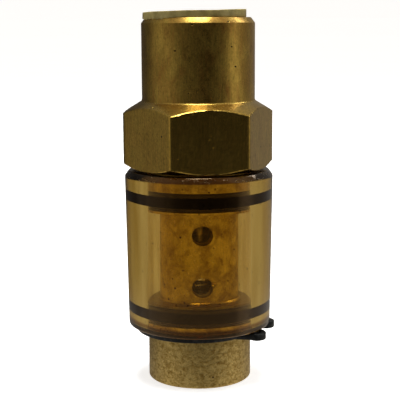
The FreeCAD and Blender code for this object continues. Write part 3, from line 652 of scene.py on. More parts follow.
def length(name, description, default):
    """A length property in metres."""
    return bpy.props.FloatProperty(name=name, description=description, default=default, min=0.0,
                                   unit="LENGTH", precision=5)


def colour(name, description, code):
    """A colour property whose default is an sRGB hex value."""
    return bpy.props.FloatVectorProperty(name=name, description=description, default=linear(code),
                                         size=4, min=0.0, max=1.0, subtype="COLOR")


class ValveSizes(bpy.types.PropertyGroup):
    """Sizes of the visible surfaces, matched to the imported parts."""
    head_diameter: length("Head diameter", "Round head above the hexagon", 20.5 * MM)
    hex_across_flats: length("Across flats", "Spanner size of the hexagon", 24 * MM)
    hex_height: length("Hexagon height", "Length of the hexagon along the axis", 12.3 * MM)
    hex_angle: bpy.props.FloatProperty(name="Hexagon angle", description="Direction of the first corner",
                                       default=math.radians(9.6), subtype="ANGLE")
    head_height: length("Head height", "From the hexagon to the head's face", 14.8 * MM)
    land_diameter: length("Land diameter", "Seal lands and tail", 19 * MM)
    stem_diameter: length("Stem diameter", "Necked stem inside the sleeve", 14.5 * MM)
    clip_groove_diameter: length("Ring groove diameter", "Bottom of the retaining ring's groove", 18 * MM)
    clip_gap_angle: bpy.props.FloatProperty(name="Ring gap angle", description="Way the gap faces",
                                            default=math.radians(-15.75), subtype="ANGLE")
    clip_lug_spread: bpy.props.FloatProperty(name="Ring lug spread", description="Gap's middle to a lug",
                                             default=math.radians(17.25), subtype="ANGLE")
    seal_groove_diameter: length("Seal groove diameter", "Bottom of the seal grooves", 14.78 * MM)
    port_diameter: length("Port diameter", "Major diameter of the port threads", 13.2 * MM)
    thread_pitch: length("Thread pitch", "Nineteen threads to the inch", 1.337 * MM)
    thread_depth: length("Thread depth", "Height of the thread's ridge", 0.84 * MM)
    stem_bore: length("Stem bore", "Bore that the spool slides in", 9 * MM)
    cross_hole: length("Cross-hole diameter", "Holes drilled through the stem", 3.5 * MM)
    cross_hole_angle: bpy.props.FloatProperty(name="Cross-hole angle", description="Way the holes face",
                                              default=math.radians(-85.5), subtype="ANGLE")


class ValveColours(bpy.types.PropertyGroup):
    """Colours of the finishes."""
    brass: colour("Brass", "Clean drawn brass", "d2ae54")
    brass_brown: colour("Brass, brown", "Handling tarnish", "a97c3c")
    brass_olive: colour("Brass, olive", "Oxide in the drawn grain", "98873c")
    # Also used for the painted shade on the lower ledge.
    brass_dark: colour("Brass, dark", "Flecks of heavier oxide", "5e4a22")
    brass_wetted: colour("Brass, wetted", "Bright part inside the sleeve", "ecc95c")
    brass_stain: colour("Brass, water stain", "Stains on the bright part", "96702c")
    brass_tail: colour("Brass, bare tail", "Pale blotches on the tail", "d4ba74")
    brass_blotch: colour("Brass, tail blotch", "Darker veins on the tail", "977838")
    brass_pit: colour("Brass, pits", "Floor of the pits", "241a0c")
    inner_brass: colour("Inner brass", "Turned parts inside", "d9bb6c")
    sleeve_surface: colour("Sleeve surface", "Tint at the sleeve's faces", "fff6e2")
    # Painted shade on the sleeve's lower end.
    sleeve_foot_shade: colour("Sleeve foot", "Lower end, dark where it sits over the ring", "6a4a26")
    sleeve_streak: colour("Sleeve streaks", "Flow streaks along the sleeve", "d8c698")
    # Painted shade on the scuffed upper edge.
    sleeve_edge_shade: colour("Sleeve edge", "Scuffed upper edge", "6a4420")
    sleeve_depth: colour("Sleeve depth", "Colour that the sleeve lets through", "e1d078")
    rubber: colour("Rubber", "Seals and disc", "1a1009")
    clip: colour("Retaining ring", "Black phosphate", "16191a")
    nylon_light: colour("Nylon, light", "Milky parts of the washer", "c2b472")
    nylon_dark: colour("Nylon, dark", "Thin and soiled parts of the washer", "94864b")
    steel: colour("Steel", "Spring and stainless parts", "b9b7ae")
    steel_dark: colour("Steel, dark", "Stains on steel", "7a766b")


# ---- operators ---------------------------------------------------------------------------------

def drill_burr(stem, hole, aim, row):
    """Sliver left by the drill: a thin curl that starts at the hole's edge, rises off the wall along a
    quarter sine and tapers to a point."""
    share = np.linspace(0, 1, 14)
    across = hole - 0.08 * MM + share * 0.75 * MM
    up = 0.35 * MM + share ** 1.4 * 0.5 * MM
    out = np.sqrt(stem ** 2 - across ** 2) + np.sin(share * math.pi / 2) * 0.32 * MM
    path = np.stack([out * math.cos(aim) - across * math.sin(aim),
                     out * math.sin(aim) + across * math.cos(aim), row + up], -1)
    points, quads = tube(path, 1.0, 6)
    centre = np.repeat(np.vstack([path[:1], path, path[-1:]]), 6, axis=0)
    taper = np.repeat(np.concatenate([[0], (1 - share) * 0.55 * MM + 0.05 * MM, [0]]), 6)
    return centre + (points - centre) * taper[:, None], quads


class VALVE_OT_body(bpy.types.Operator):
    """Builds the one-piece brass body: tail, lands, drilled stem, hexagon, head and threaded bore"""
    bl_idname = "valve.body"
    bl_label = "Brass body"

    def execute(self, context):
        sizes = context.scene.valve_sizes
        angles = body_angles(sizes)
        head_low = BODY_TOP - sizes.head_height
        hex_low = head_low - sizes.hex_height
        land, stem = sizes.land_diameter / 2, sizes.stem_diameter / 2
        head, port = sizes.head_diameter / 2, sizes.port_diameter / 2
        clip, groove = sizes.clip_groove_diameter / 2, sizes.seal_groove_diameter / 2
        bore, hole = sizes.stem_bore / 2, sizes.cross_hole / 2
        mouth = port + 0.5 * MM
        grooves = [(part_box(n)[0].z - 0.175 * MM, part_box(n)[1].z + 0.175 * MM)
                   for n in ("lower_sleeve_seal", "upper_sleeve_seal")]
        rim = 0.45 * MM
        stem_low, stem_high = grooves[0][1] + rim, grooves[1][0] - rim
        fillet = 0.35 * MM
        rows_at = [stem_low + 3.05 * MM, stem_high - 4.05 * MM]
        foot = soften([
            (mouth, 0), (land - 0.25 * MM, 0), (land, 0.25 * MM), (land, CLIP_LOW), (clip, CLIP_LOW),
            (clip, SLEEVE_LOW), (land, SLEEVE_LOW), (land, grooves[0][0]), (groove, grooves[0][0]),
            (groove, grooves[0][1]), (land, grooves[0][1]), (land, stem_low), (stem + fillet, stem_low),
            (stem, stem_low + fillet)], 0.07 * MM)
        upper = soften([
            (stem, stem_high - fillet), (stem + fillet, stem_high), (land, stem_high),
            (land, grooves[1][0]), (groove, grooves[1][0]), (groove, grooves[1][1]),
            (land, grooves[1][1]), (land, hex_low), (sizes.hex_across_flats / 2 - 0.05 * MM, hex_low)],
            0.07 * MM)
        top = soften([
            (head + 0.12 * MM / math.tan(math.radians(31)), head_low - 0.12 * MM),
            (head + 0.06 * MM, head_low + 0.04 * MM), (head, head_low + 0.3 * MM),
            (head, BODY_TOP - 1.0 * MM), (head - 0.75 * MM, BODY_TOP),
            (mouth, BODY_TOP), (port, BODY_TOP - 0.5 * MM)], 0.09 * MM)
        inlet_floor = BODY_TOP - 12 * MM
        strainer_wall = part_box("strainer_rim")[1].x + 0.02 * MM
        seat_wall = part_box("seat_insert")[1].x + 0.02 * MM
        seat_floor = SEAT_LIP + 1.0 * MM
        snap = 0.5 * MM
        ring_low, ring_high = [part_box("strainer_ring")[k].z for k in (0, 1)]
        seat_ring_low, seat_ring_high = [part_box("seat_ring")[k].z for k in (0, 1)]
        gap = 0.05 * MM
        inner = soften([
            (port, inlet_floor), (strainer_wall, inlet_floor), (strainer_wall, ring_high + gap),
            (strainer_wall + snap, ring_high + gap), (strainer_wall + snap, ring_low - gap),
            (strainer_wall, ring_low - gap), (strainer_wall, RIM_LOW), (seat_wall, RIM_LOW),
            (seat_wall, seat_ring_high + gap), (seat_wall + snap, seat_ring_high + gap),
            (seat_wall + snap, seat_ring_low - gap), (seat_wall, seat_ring_low - gap),
            (seat_wall, seat_floor), (bore, seat_floor)], 0.05 * MM, 2)
        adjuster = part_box("adjusting_screw")[1].x + 0.04 * MM
        outlet = 8 * MM
        lower = soften([(bore, 2 * outlet), (adjuster, 2 * outlet), (adjuster, outlet), (port, outlet)],
                       0.05 * MM, 2)
        edge = 0.04 * MM
        spread = math.radians(31)
        outside, borders = drilled_wall(angles, stem, stem_low + fillet, stem_high - fillet, rows_at,
                                        hole + edge, sizes.cross_hole_angle, 2.4 * MM, spread)
        inside, _ = drilled_wall(angles, bore, 2 * outlet, seat_floor, rows_at, hole,
                                 sizes.cross_hole_angle, 2.4 * MM, spread)
        surfaces = [lathe(part, angles) for part in (foot, upper, top, inner, lower)]
        surfaces += outside + inside + hole_walls(borders, stem, bore, hole, edge)
        surfaces.append(hexagon_surface(sizes, angles, hex_low, head_low))
        surfaces.append(thread_surface(angles, inlet_floor, BODY_TOP - 0.5 * MM, sizes))
        surfaces.append(thread_surface(angles, 0.5 * MM, outlet, sizes))
        surfaces.append(lathe([(port, 0.5 * MM), (mouth, 0)], angles))
        surfaces.append(drill_burr(stem, hole, sizes.cross_hole_angle, rows_at[0]))
        make_piece("brass_body", surfaces, bar_brass(context.scene.valve_colours), "housing",
                   ["valve_body"], 30.0)
        return {"FINISHED"}


class VALVE_OT_sleeve(bpy.types.Operator):
    """Builds the clear amber sleeve with its chamfered top, drafted wall and rounded lower edge"""
    bl_idname = "valve.sleeve"
    bl_label = "Amber sleeve"

    def execute(self, context):
        sizes = context.scene.valve_sizes
        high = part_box("sight_sleeve")[1].x
        bore = sizes.land_diameter / 2 + 0.08 * MM
        low = high - 0.425 * MM
        profile = soften([
            (bore + 0.35 * MM, SLEEVE_LOW), (low - 0.25 * MM, SLEEVE_LOW), (low, SLEEVE_LOW + 0.25 * MM),
            (high, SLEEVE_HIGH - 1.05 * MM), (high - 0.75 * MM, SLEEVE_HIGH),
            (bore + 0.35 * MM, SLEEVE_HIGH), (bore, SLEEVE_HIGH - 0.35 * MM),
            (bore, SLEEVE_LOW + 0.35 * MM)], 0.2 * MM, 5, closed=True)
        make_piece("amber_sleeve", [lathe(profile, even_angles(256), closed=True)],
                   amber_plastic(context.scene.valve_colours), "sleeve",
                   ["sight_sleeve"], 50.0)
        return {"FINISHED"}


class VALVE_OT_seals(bpy.types.Operator):
    """Builds the rubber rings: both sleeve seals, the seat's ring and the spool's ring"""
    bl_idname = "valve.seals"
    bl_label = "Rubber seals"

    def execute(self, context):
        rubber = moulded_rubber("moulded_nitrile", context.scene.valve_colours.rubber)
        rings = [("upper_sleeve_seal", "housing", 2.15, 0.6, 0.05),
                 ("lower_sleeve_seal", "housing", 2.15, 0.6, 0.05),
                 ("seat_insert_seal", "housing", 1.1, 0.36, 0.0),
                 ("spool_seal", "spool", 1.1, 0.36, 0.0)]
        for node, body, depth, corner, press in rings:
            low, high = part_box(node)
            outer = high.x + press * MM
            inner = high.x - depth * MM
            profile = soften([(inner, low.z), (outer, low.z), (outer, high.z), (inner, high.z)],
                             corner * 1.4 * MM, 7, closed=True)
            make_piece(node + "_ring", [lathe(profile, even_angles(160), closed=True)], rubber, body,
                       [node], 60.0)
        return {"FINISHED"}


class VALVE_OT_circlip(bpy.types.Operator):
    """Builds the external retaining ring: an eccentric ring whose outline runs round two drilled lugs"""
    bl_idname = "valve.circlip"
    bl_label = "Retaining ring"

    def execute(self, context):
        sizes = context.scene.valve_sizes
        inner = sizes.clip_groove_diameter / 2 + 0.02 * MM
        outline, holes = clip_outline(inner, sizes.clip_gap_angle, sizes.clip_lug_spread)
        bevel = 0.1 * MM
        curve = bpy.data.curves.new("retaining_ring_outline", "CURVE")
        curve.dimensions = "2D"
        curve.fill_mode = "BOTH"
        curve.extrude = (CLIP_HIGH - CLIP_LOW) / 2 - bevel
        curve.bevel_depth = bevel
        curve.bevel_resolution = 2
        curve.offset = -bevel
        for loop in [outline] + holes:
            spline = curve.splines.new("POLY")
            spline.points.add(len(loop) - 1)
            flat = np.column_stack([loop, np.zeros(len(loop)), np.ones(len(loop))])
            spline.points.foreach_set("co", flat.ravel())
            spline.use_cyclic_u = True
        source = bpy.data.objects.new("retaining_ring_source", curve)
        context.scene.collection.objects.link(source)
        context.view_layer.update()
        depsgraph = context.evaluated_depsgraph_get()
        mesh = bpy.data.meshes.new_from_object(source.evaluated_get(depsgraph))
        bpy.data.objects.remove(source)
        work = bmesh.new()
        work.from_mesh(mesh)
        bmesh.ops.remove_doubles(work, verts=work.verts, dist=0.0005 * MM)
        bmesh.ops.translate(work, verts=work.verts, vec=(0, 0, (CLIP_LOW + CLIP_HIGH) / 2))
        bmesh.ops.recalc_face_normals(work, faces=work.faces)
        work.to_mesh(mesh)
        work.free()
        mesh.materials.clear()
        bend_lug(mesh, sizes.clip_gap_angle - sizes.clip_lug_spread, 0.35 * MM)
        piece = bpy.data.objects.new("retaining_ring", mesh)
        file_piece(piece, phosphated_steel(context.scene.valve_colours), "housing",
                   ["sleeve_circlip"], 30.0)
        return {"FINISHED"}


def clip_outline(inner, gap, spread):
    """Outline of the retaining ring as one loop, and its two round holes.

    Going round: the eccentric outer circle from lug to lug, out and round each lug's end, across the
    gap's two straight sides, and back along the inner circle. The lugs lie at the spread angle on
    either side of the gap's middle.
    """
    half, reach = 1.95 * MM, 12.1 * MM
    outer, offset = inner + 2.1 * MM, 0.5 * MM
    lug_half = math.asin(half / reach)
    low_side, high_side = gap + spread, gap - spread + TURN

    def eccentric(angle):
        """Distance from the axis to the offset outer circle at an angle from the gap."""
        return -offset * np.cos(angle) + np.sqrt(outer ** 2 - (offset * np.sin(angle)) ** 2)

    def lug(angle):
        """Rounded end of a lug, from its lower side round to its upper side."""
        turn = np.linspace(-math.pi / 2, math.pi / 2, 17)
        x, y = reach + half * np.cos(turn), half * np.sin(turn)
        return np.stack([x * math.cos(angle) - y * math.sin(angle),
                         x * math.sin(angle) + y * math.cos(angle)], -1)

    root = math.asin(half / (inner + 1.2 * MM))
    back = np.linspace(low_side + root + 0.12, high_side - root - 0.12, 120)
    far = eccentric(back - gap)[:, None] * np.stack([np.cos(back), np.sin(back)], -1)
    inside = np.linspace(high_side + lug_half, low_side - lug_half, 120)
    near = inner * np.stack([np.cos(inside), np.sin(inside)], -1)
    outline = np.vstack([lug(low_side), far, lug(high_side), near])
    turn = even_angles(28)
    holes = []
    for angle in (low_side, high_side):
        centre = reach * np.array([math.cos(angle), math.sin(angle)])
        holes.append(centre + 1.0 * MM * np.stack([np.cos(turn), np.sin(turn)], -1))
    return outline, holes


def bend_lug(mesh, angle, drop):
    """Springs one lug down: the drop grows with the cube-eased distance past the ring's rim, and only
    near the lug's own direction."""
    points = np.empty(len(mesh.vertices) * 3, np.float32)
    mesh.vertices.foreach_get("co", points)
    points = points.reshape(-1, 3)
    reach = np.clip((np.hypot(points[:, 0], points[:, 1]) - 10.6 * MM) / (3.0 * MM), 0, 1)
    aside = np.abs(np.arctan2(points[:, 1], points[:, 0]) - angle)
    points[:, 2] -= drop * reach ** 2 * (3 - 2 * reach) * np.clip((0.4 - aside) / 0.15, 0, 1)
    mesh.vertices.foreach_set("co", points.ravel())
    mesh.update()


class VALVE_OT_washer(bpy.types.Operator):
    """Builds the pale sealing washer, slightly tilted, with a ragged squeezed-out lower edge"""
    bl_idname = "valve.washer"
    bl_label = "Port washer"

    def execute(self, context):
        low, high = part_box("port_washer")
        centre_x = (low.x + high.x) / 2
        outer = (high.x - low.x) / 2
        inner = outer - 2.0 * MM
        angles = even_angles(240)
        profile = soften([(inner, low.z), (outer, low.z), (outer, high.z), (inner, high.z)],
                         0.16 * MM, 4, closed=True)
        profile = np.vstack([profile, profile[:1]])
        steps = np.linspace(0, 1, 5)[:-1]
        fine = (profile[:-1, None] * (1 - steps)[None, :, None] + profile[1:, None] * steps[None, :, None])
        fine = fine.reshape(-1, 2)
        radius = np.repeat(fine[:, :1], len(angles), axis=1)
        height = np.repeat(fine[:, 1:], len(angles), axis=1)
        share = (height - low.z) / (high.z - low.z)
        outside = (radius - inner) / (outer - inner)
        tilt = (np.cos(angles) - 1)[None, :] * 0.22 * MM
        wave = (np.sin(3 * angles + 1.1) + 0.6 * np.sin(7 * angles + 0.4))[None, :] * 0.035 * MM
        height += share * (tilt + wave - 0.06 * MM)
        ragged = np.sin(19 * angles) * np.sin(31 * angles + 1.7) + 0.5 * np.sin(53 * angles)
        aside = angles - math.radians(206)
        flash = np.clip(1.25 * np.cos(aside * 1.6) - 0.2, 0, 1)
        flash *= np.abs(aside) < math.radians(56)
        flash = np.clip(flash * (0.8 + 0.3 * ragged), 0, 1)[None, :]
        foot = outside * (1 - share)
        radius += foot * flash * 0.12 * MM - outside * 0.03 * MM * (1 + np.sin(5 * angles + 2.0))[None, :]
        height -= foot * flash * 0.5 * MM
        x = centre_x + radius * np.cos(angles)
        points = np.stack([x, radius * np.sin(angles), height], -1).reshape(-1, 3)
        quads = grid_faces(len(fine), len(angles), wrap_rows=True)
        make_piece("nylon_washer", [(points, quads)], nylon(context.scene.valve_colours), "housing",
                   ["port_washer"], 50.0)
        return {"FINISHED"}


def snap_ring_surface(node, thickness_share=0.5):
    """Round-wire snap ring in a node's box: an arc that leaves the ring's gap open."""
    low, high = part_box(node)
    wire = (high.z - low.z) * thickness_share
    radius = high.x - wire
    gap = math.radians(13)
    angles = np.linspace(math.pi / 2 + gap, math.pi / 2 + TURN - gap, 140)
    path = np.stack([radius * np.cos(angles), radius * np.sin(angles),
                     np.full(140, (low.z + high.z) / 2)], -1)
    return tube(path, wire, 12)


def woven_cup(low, high, radius, pitch, wire):
    """Gauze cup: crossed wires that rise and fall by one wire in step, over a disc and up a cylinder.

    On the disc each wire runs along a chord and its height follows a cosine of the pitch; on the wall
    the hoops and the uprights pass over and under each other in the same way.
    """
    surfaces = []
    lines = np.arange(-radius + pitch, radius - pitch / 2, pitch)
    for number, line in enumerate(lines):
        half = math.sqrt(radius ** 2 - line ** 2)
        along = np.linspace(-half, half, max(int(half / pitch * 8), 8))
        lift = wire * 0.9 * np.cos(math.pi * (along / pitch + number))
        surfaces.append(tube(np.stack([along, np.full(len(along), line), low + wire + lift], -1), wire, 5))
        surfaces.append(tube(np.stack([np.full(len(along), line), along, low + wire - lift], -1), wire, 5))
    count = int(TURN * radius / pitch / 2) * 2
    uprights = np.arange(count) / count * TURN
    levels = np.arange(low + pitch, high - wire, pitch)
    climb = np.linspace(low + wire, high, len(levels) * 5)
    for number, angle in enumerate(uprights):
        away = radius - wire + wire * 0.9 * np.cos(math.pi * ((climb - low) / pitch + number))
        path = np.stack([away * math.cos(angle), away * math.sin(angle), climb], -1)
        surfaces.append(tube(path, wire, 5))
    round_angles = even_angles(count * 3)
    for number, level in enumerate(levels):
        away = radius - wire - wire * 0.9 * np.cos(round_angles * count / 2 + math.pi * (number + 1))
        path = np.stack([away * np.cos(round_angles), away * np.sin(round_angles),
                         np.full(len(round_angles), level)], -1)
        surfaces.append(tube(path, wire, 5, closed=True))
    return surfaces


class VALVE_OT_strainer(bpy.types.Operator):
    """Builds the inlet strainer: brass rim, woven gauze cup and the snap ring above it"""
    bl_idname = "valve.strainer"
    bl_label = "Inlet strainer"

    def execute(self, context):
        colours = context.scene.valve_colours
        steel = turned_metal("drawn_stainless_wire", colours.steel, colours.steel_dark, 0.28)
        gauze_low, gauze_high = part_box("strainer_gauze")
        radius = gauze_high.x
        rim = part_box("strainer_rim")[1].x
        profile = soften([(radius + 0.02 * MM, RIM_LOW), (rim, RIM_LOW), (rim, RIM_HIGH),
                          (radius + 0.02 * MM, RIM_HIGH)], 0.15 * MM, 4, closed=True)
        brass = turned_metal("turned_inner_brass", colours.inner_brass, colours.brass_brown, 0.22)
        make_piece("strainer_brass_rim", [lathe(profile, even_angles(128), closed=True)], brass,
                   "housing", ["strainer_rim"], 40.0)
        make_piece("woven_gauze", woven_cup(gauze_low.z, gauze_high.z, radius, 0.62 * MM, 0.11 * MM),
                   steel, "housing", ["strainer_gauze"], 60.0, 0.0001)
        make_piece("strainer_snap_ring", [snap_ring_surface("strainer_ring")],
                   turned_metal("drawn_spring_wire", colours.steel, colours.steel_dark, 0.3), "housing",
                   ["strainer_ring"], 60.0)
        return {"FINISHED"}


class VALVE_OT_seat(bpy.types.Operator):
    """Builds the turned valve seat with its raised lip, and the snap ring that keeps it in"""
    bl_idname = "valve.seat"
    bl_label = "Valve seat"

    def execute(self, context):
        colours = context.scene.valve_colours
        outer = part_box("seat_insert")[1].x
        floor = SEAT_LIP + 1.0 * MM
        orifice = 2.6 * MM
        groove_low, groove_high = floor + 2.2 * MM, floor + 3.9 * MM
        profile = soften([
            (orifice, SEAT_LIP), (orifice + 0.4 * MM, SEAT_LIP), (orifice + 0.4 * MM, SEAT_LIP + 0.4 * MM),
            (4.0 * MM, SEAT_LIP + 0.4 * MM), (4.0 * MM, floor + 0.02 * MM), (outer, floor + 0.02 * MM),
            (outer, groove_low), (outer - 1.12 * MM, groove_low), (outer - 1.12 * MM, groove_high),
            (outer, groove_high), (outer, SEAT_HIGH), (orifice + 1.6 * MM, SEAT_HIGH),
            (orifice, SEAT_HIGH - 1.6 * MM)], 0.08 * MM, 3, closed=True)
        brass = turned_metal("turned_seat_brass", colours.inner_brass, colours.brass_brown, 0.2)
        make_piece("turned_seat", [lathe(profile, even_angles(128), closed=True)], brass, "housing",
                   ["seat_insert"], 40.0)
        make_piece("seat_snap_ring", [snap_ring_surface("seat_ring")],
                   turned_metal("oiled_spring_wire", colours.steel, colours.steel_dark, 0.32), "housing",
                   ["seat_ring"], 60.0)
        return {"FINISHED"}


class VALVE_OT_spool(bpy.types.Operator):
    """Builds the spool with its three-flat guide head, and gives the disc, washer and screw on its nose
    their finishes
    """
    bl_idname = "valve.spool"
    bl_label = "Spool"

    def execute(self, context):
        colours = context.scene.valve_colours
        wall = max(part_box("diverter_spool")[1].x, 4.46 * MM)
        seal_low, seal_high = [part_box("spool_seal")[k].z for k in (0, 1)]
        land_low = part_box("return_spring")[1].z + 0.02 * MM
        land_high = seal_low + seal_high - land_low
        stem, boss, shank = 1.9 * MM, 2.3 * MM, 1.02 * MM
        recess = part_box("valve_disc")[1].x + 0.05 * MM
        head_low = SPOOL_HIGH - 2.3 * MM
        gap = 0.05 * MM
        profile = soften([
            (0, SPOOL_LOW), (boss, SPOOL_LOW), (boss, land_low), (wall, land_low),
            (wall, seal_low - gap), (wall - 1.1 * MM, seal_low - gap), (wall - 1.1 * MM, seal_high + gap),
            (wall, seal_high + gap), (wall, land_high), (stem, land_high), (stem, head_low),
            (wall, head_low), (wall, SPOOL_HIGH), (recess, SPOOL_HIGH), (recess, SPOOL_HIGH - 0.5 * MM),
            (shank, SPOOL_HIGH - 0.5 * MM), (shank, SPOOL_HIGH - 5.5 * MM), (0, SPOOL_HIGH - 5.5 * MM)],
            0.06 * MM, 3)
        angles = even_angles(180)
        flat = (recess + 0.35 * MM) / np.cos(np.mod(angles + TURN / 6, TURN / 3) - TURN / 6)
        radius = np.repeat(profile[:, :1], len(angles), axis=1)
        in_head = (profile[:, 1] > head_low - gap) & (profile[:, 0] > recess + gap)
        radius[in_head] = np.minimum(radius[in_head], flat[None, :])
        surface = (swept_round(radius, profile[:, 1], angles), grid_faces(len(profile), len(angles)))
        brass = turned_metal("turned_spool_brass", colours.inner_brass, colours.brass_dark, 0.3)
        make_piece("turned_spool", [surface], brass, "spool", ["diverter_spool"], 35.0)
        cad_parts["valve_disc"].data.materials.clear()
        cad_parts["valve_disc"].data.materials.append(
            moulded_rubber("moulded_disc_rubber", colours.rubber, 0.3))
        for node, finish in (("disc_washer", "stamped_stainless"), ("disc_screw", "turned_stainless")):
            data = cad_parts[node].data
            data.materials.clear()
            data.materials.append(turned_metal(finish, colours.steel, colours.steel_dark, 0.25))
        return {"FINISHED"}


def coil(low, high, radius, wire, turns):
    """Compression spring: a helix whose climb eases to nothing in the first and the last coil."""
    count = int(turns * 48)
    share = np.linspace(0, 1, count)
    ease = 0.16
    climb = np.interp(share, [0, ease, 1 - ease, 1], [0, ease * 0.35, 1 - ease * 0.35, 1])
    angle = share * turns * TURN
    height = low + wire + (high - low - 2 * wire) * climb
    return np.stack([radius * np.cos(angle), radius * np.sin(angle), height], -1)


def hollow_screw(low, high, outer, socket, pitch):
    """Threaded ring with a hexagon socket: a closed profile carried round the axis, whose inner side
    keeps to the hexagon and whose outer side carries the thread as a shallow triangle wave."""
    angles = even_angles(240)
    rows = 40
    height = np.linspace(low, high, rows)
    across = socket / 2 / np.cos(np.mod(angles, TURN / 6) - TURN / 12)
    phase = np.mod(height[:, None] / pitch - angles[None, :] / TURN, 1.0)
    fade = np.clip(np.minimum(height - low, high - height) / (0.4 * MM), 0, 1)[:, None]
    wave = 1 - np.abs(2 * phase - 1)
    side = outer - 0.4 * MM + fade * 0.4 * MM - 0.3 * MM * wave * fade
    inside = np.repeat(across[None, :], rows, axis=0)
    mouth = np.clip(1 - np.minimum(height - low, high - height) / (0.3 * MM), 0, 1)[:, None] * 0.25 * MM
    radius = np.vstack([side, (inside + mouth)[::-1]])
    heights = np.concatenate([height, height[::-1]])
    return swept_round(radius, heights, angles), grid_faces(2 * rows, len(angles), wrap_rows=True)


class VALVE_OT_adjuster(bpy.types.Operator):
    """Builds the return spring, the seat under it and the hollow adjusting screw, and gives its lock pad a
    finish
    """
    bl_idname = "valve.adjuster"
    bl_label = "Spring and adjuster"

    def execute(self, context):
        colours = context.scene.valve_colours
        low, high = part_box("return_spring")
        wire = 0.4 * MM
        path = coil(low.z, high.z, max(high.x, -low.x) - wire, wire, 5.2)
        middle = len(path) // 2
        wire_steel = turned_metal("bright_spring_wire", colours.steel, colours.steel_dark, 0.24)
        for name, part, mover, end in (("spring_lower_half", path[:middle + 1], "spring_carrier", low.z),
                                       ("spring_upper_half", path[middle:], "spool", high.z)):
            half = make_piece(name, [tube(part, wire, 12)], wire_steel, None,
                              ["return_spring"], 70.0)
            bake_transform(half)
        seat_low, seat_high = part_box("spring_seat")
        collar, bore = 2.7 * MM, 2.0 * MM
        flange = seat_low.z + 1.0 * MM
        profile = soften([(bore, seat_low.z), (seat_high.x, seat_low.z), (seat_high.x, flange),
                          (collar, flange), (collar, seat_high.z), (bore, seat_high.z)],
                         0.12 * MM, 4, closed=True)
        make_piece("turned_spring_seat", [lathe(profile, even_angles(96), closed=True)],
                   turned_metal("turned_seat_steel", colours.steel, colours.steel_dark, 0.26),
                   "spring_carrier", ["spring_seat"], 40.0)
        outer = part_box("adjusting_screw")[1].x
        make_piece("hollow_adjusting_screw", [hollow_screw(SCREW_LOW, SCREW_HIGH, outer, 5 * MM, 1 * MM)],
                   turned_metal("turned_screw_brass", colours.inner_brass, colours.brass_brown, 0.24),
                   "adjuster", ["adjusting_screw"], 30.0)
        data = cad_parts["screw_lock_pad"].data
        data.materials.clear()
        data.materials.append(nylon(colours))
        return {"FINISHED"}


class VALVE_OT_stage(bpy.types.Operator):
    """Builds the pale floor, the soft studio lights and the camera"""
    bl_idname = "valve.stage"
    bl_label = "Stage, light and camera"

    def execute(self, context):
        scene = context.scene
        scene.view_settings.view_transform = "Standard"
        floor_material, tree, output = new_material("pale_paper")
        place = add(tree, "ShaderNodeTexCoord")
        fibre_at = add(tree, "ShaderNodeMapping", {"Vector": (place, "Object"), "Scale": grain(0.8)})
        fibre = add(tree, "ShaderNodeTexNoise", {
            "Vector": (fibre_at, "Vector"), "Scale": 1.0, "Detail": 4.0, "Roughness": 0.55})
        tone = add(tree, "ShaderNodeMapRange", {
            "Value": (fibre, "Fac"), "From Min": 0.3, "From Max": 0.7})
        shade = add(tree, "ShaderNodeMix", {
            0: (tone, 0), 6: linear("f4f4f4"), 7: linear("eeeeee")}, data_type="RGBA")
        shader = add(tree, "ShaderNodeBsdfPrincipled", {
            "Base Color": (shade, 2), "Roughness": 0.95, "Specular IOR Level": 0.0,
            "Emission Color": (1, 1, 1, 1), "Emission Strength": 0.72})
        side = add(tree, "ShaderNodeNewGeometry")
        clear = add(tree, "ShaderNodeBsdfTransparent")
        paper = add(tree, "ShaderNodeMixShader", {0: (side, "Backfacing"), 1: (shader, 0), 2: (clear, 0)})
        tree.links.new(paper.outputs[0], output.inputs[0])
        sweep = studio_sweep()
        sweep.data.materials.append(floor_material)
        sweep.visible_glossy = False
        sweep.visible_transmission = False
        sweep.visible_diffuse = False
        sweep.visible_shadow = False
        tent = light_tent()
        studio_world(scene)
        soft_light("overhead", (0.0, 0.04, 0.55), (0.0, 0.04, 0.0), (0.2, 0.42), 3.2)
        soft_light("right_high", (0.39, 0.216, 0.44), (0.0, 0.0, 0.04), (0.12, 0.2), 0.4)
        place_camera(scene)
        return {"FINISHED"}


def studio_sweep():
    """Paper sweep turned about the valve's axis: a round floor whose far edge curves up in a quarter
    circle into a wall, closed by a flat ceiling. Its profile is (radius, height)."""
    bend = np.linspace(0, math.pi / 2, 17)
    floor_end, radius, top = 1.2, 0.6, 3.0
    out = np.concatenate([[0.0], floor_end + radius * np.sin(bend), [floor_end + radius, 0.0]])
    up = np.concatenate([[0.0], radius * (1 - np.cos(bend)), [top, top]])
    points, quads = lathe(np.column_stack([out, up]), even_angles(96))
    mesh = bpy.data.meshes.new("paper_sweep")
    mesh.from_pydata(points.tolist(), [], quads[:, ::-1].tolist())
    sweep = bpy.data.objects.new("paper_sweep", mesh)
    bpy.context.scene.collection.objects.link(sweep)
    return sweep


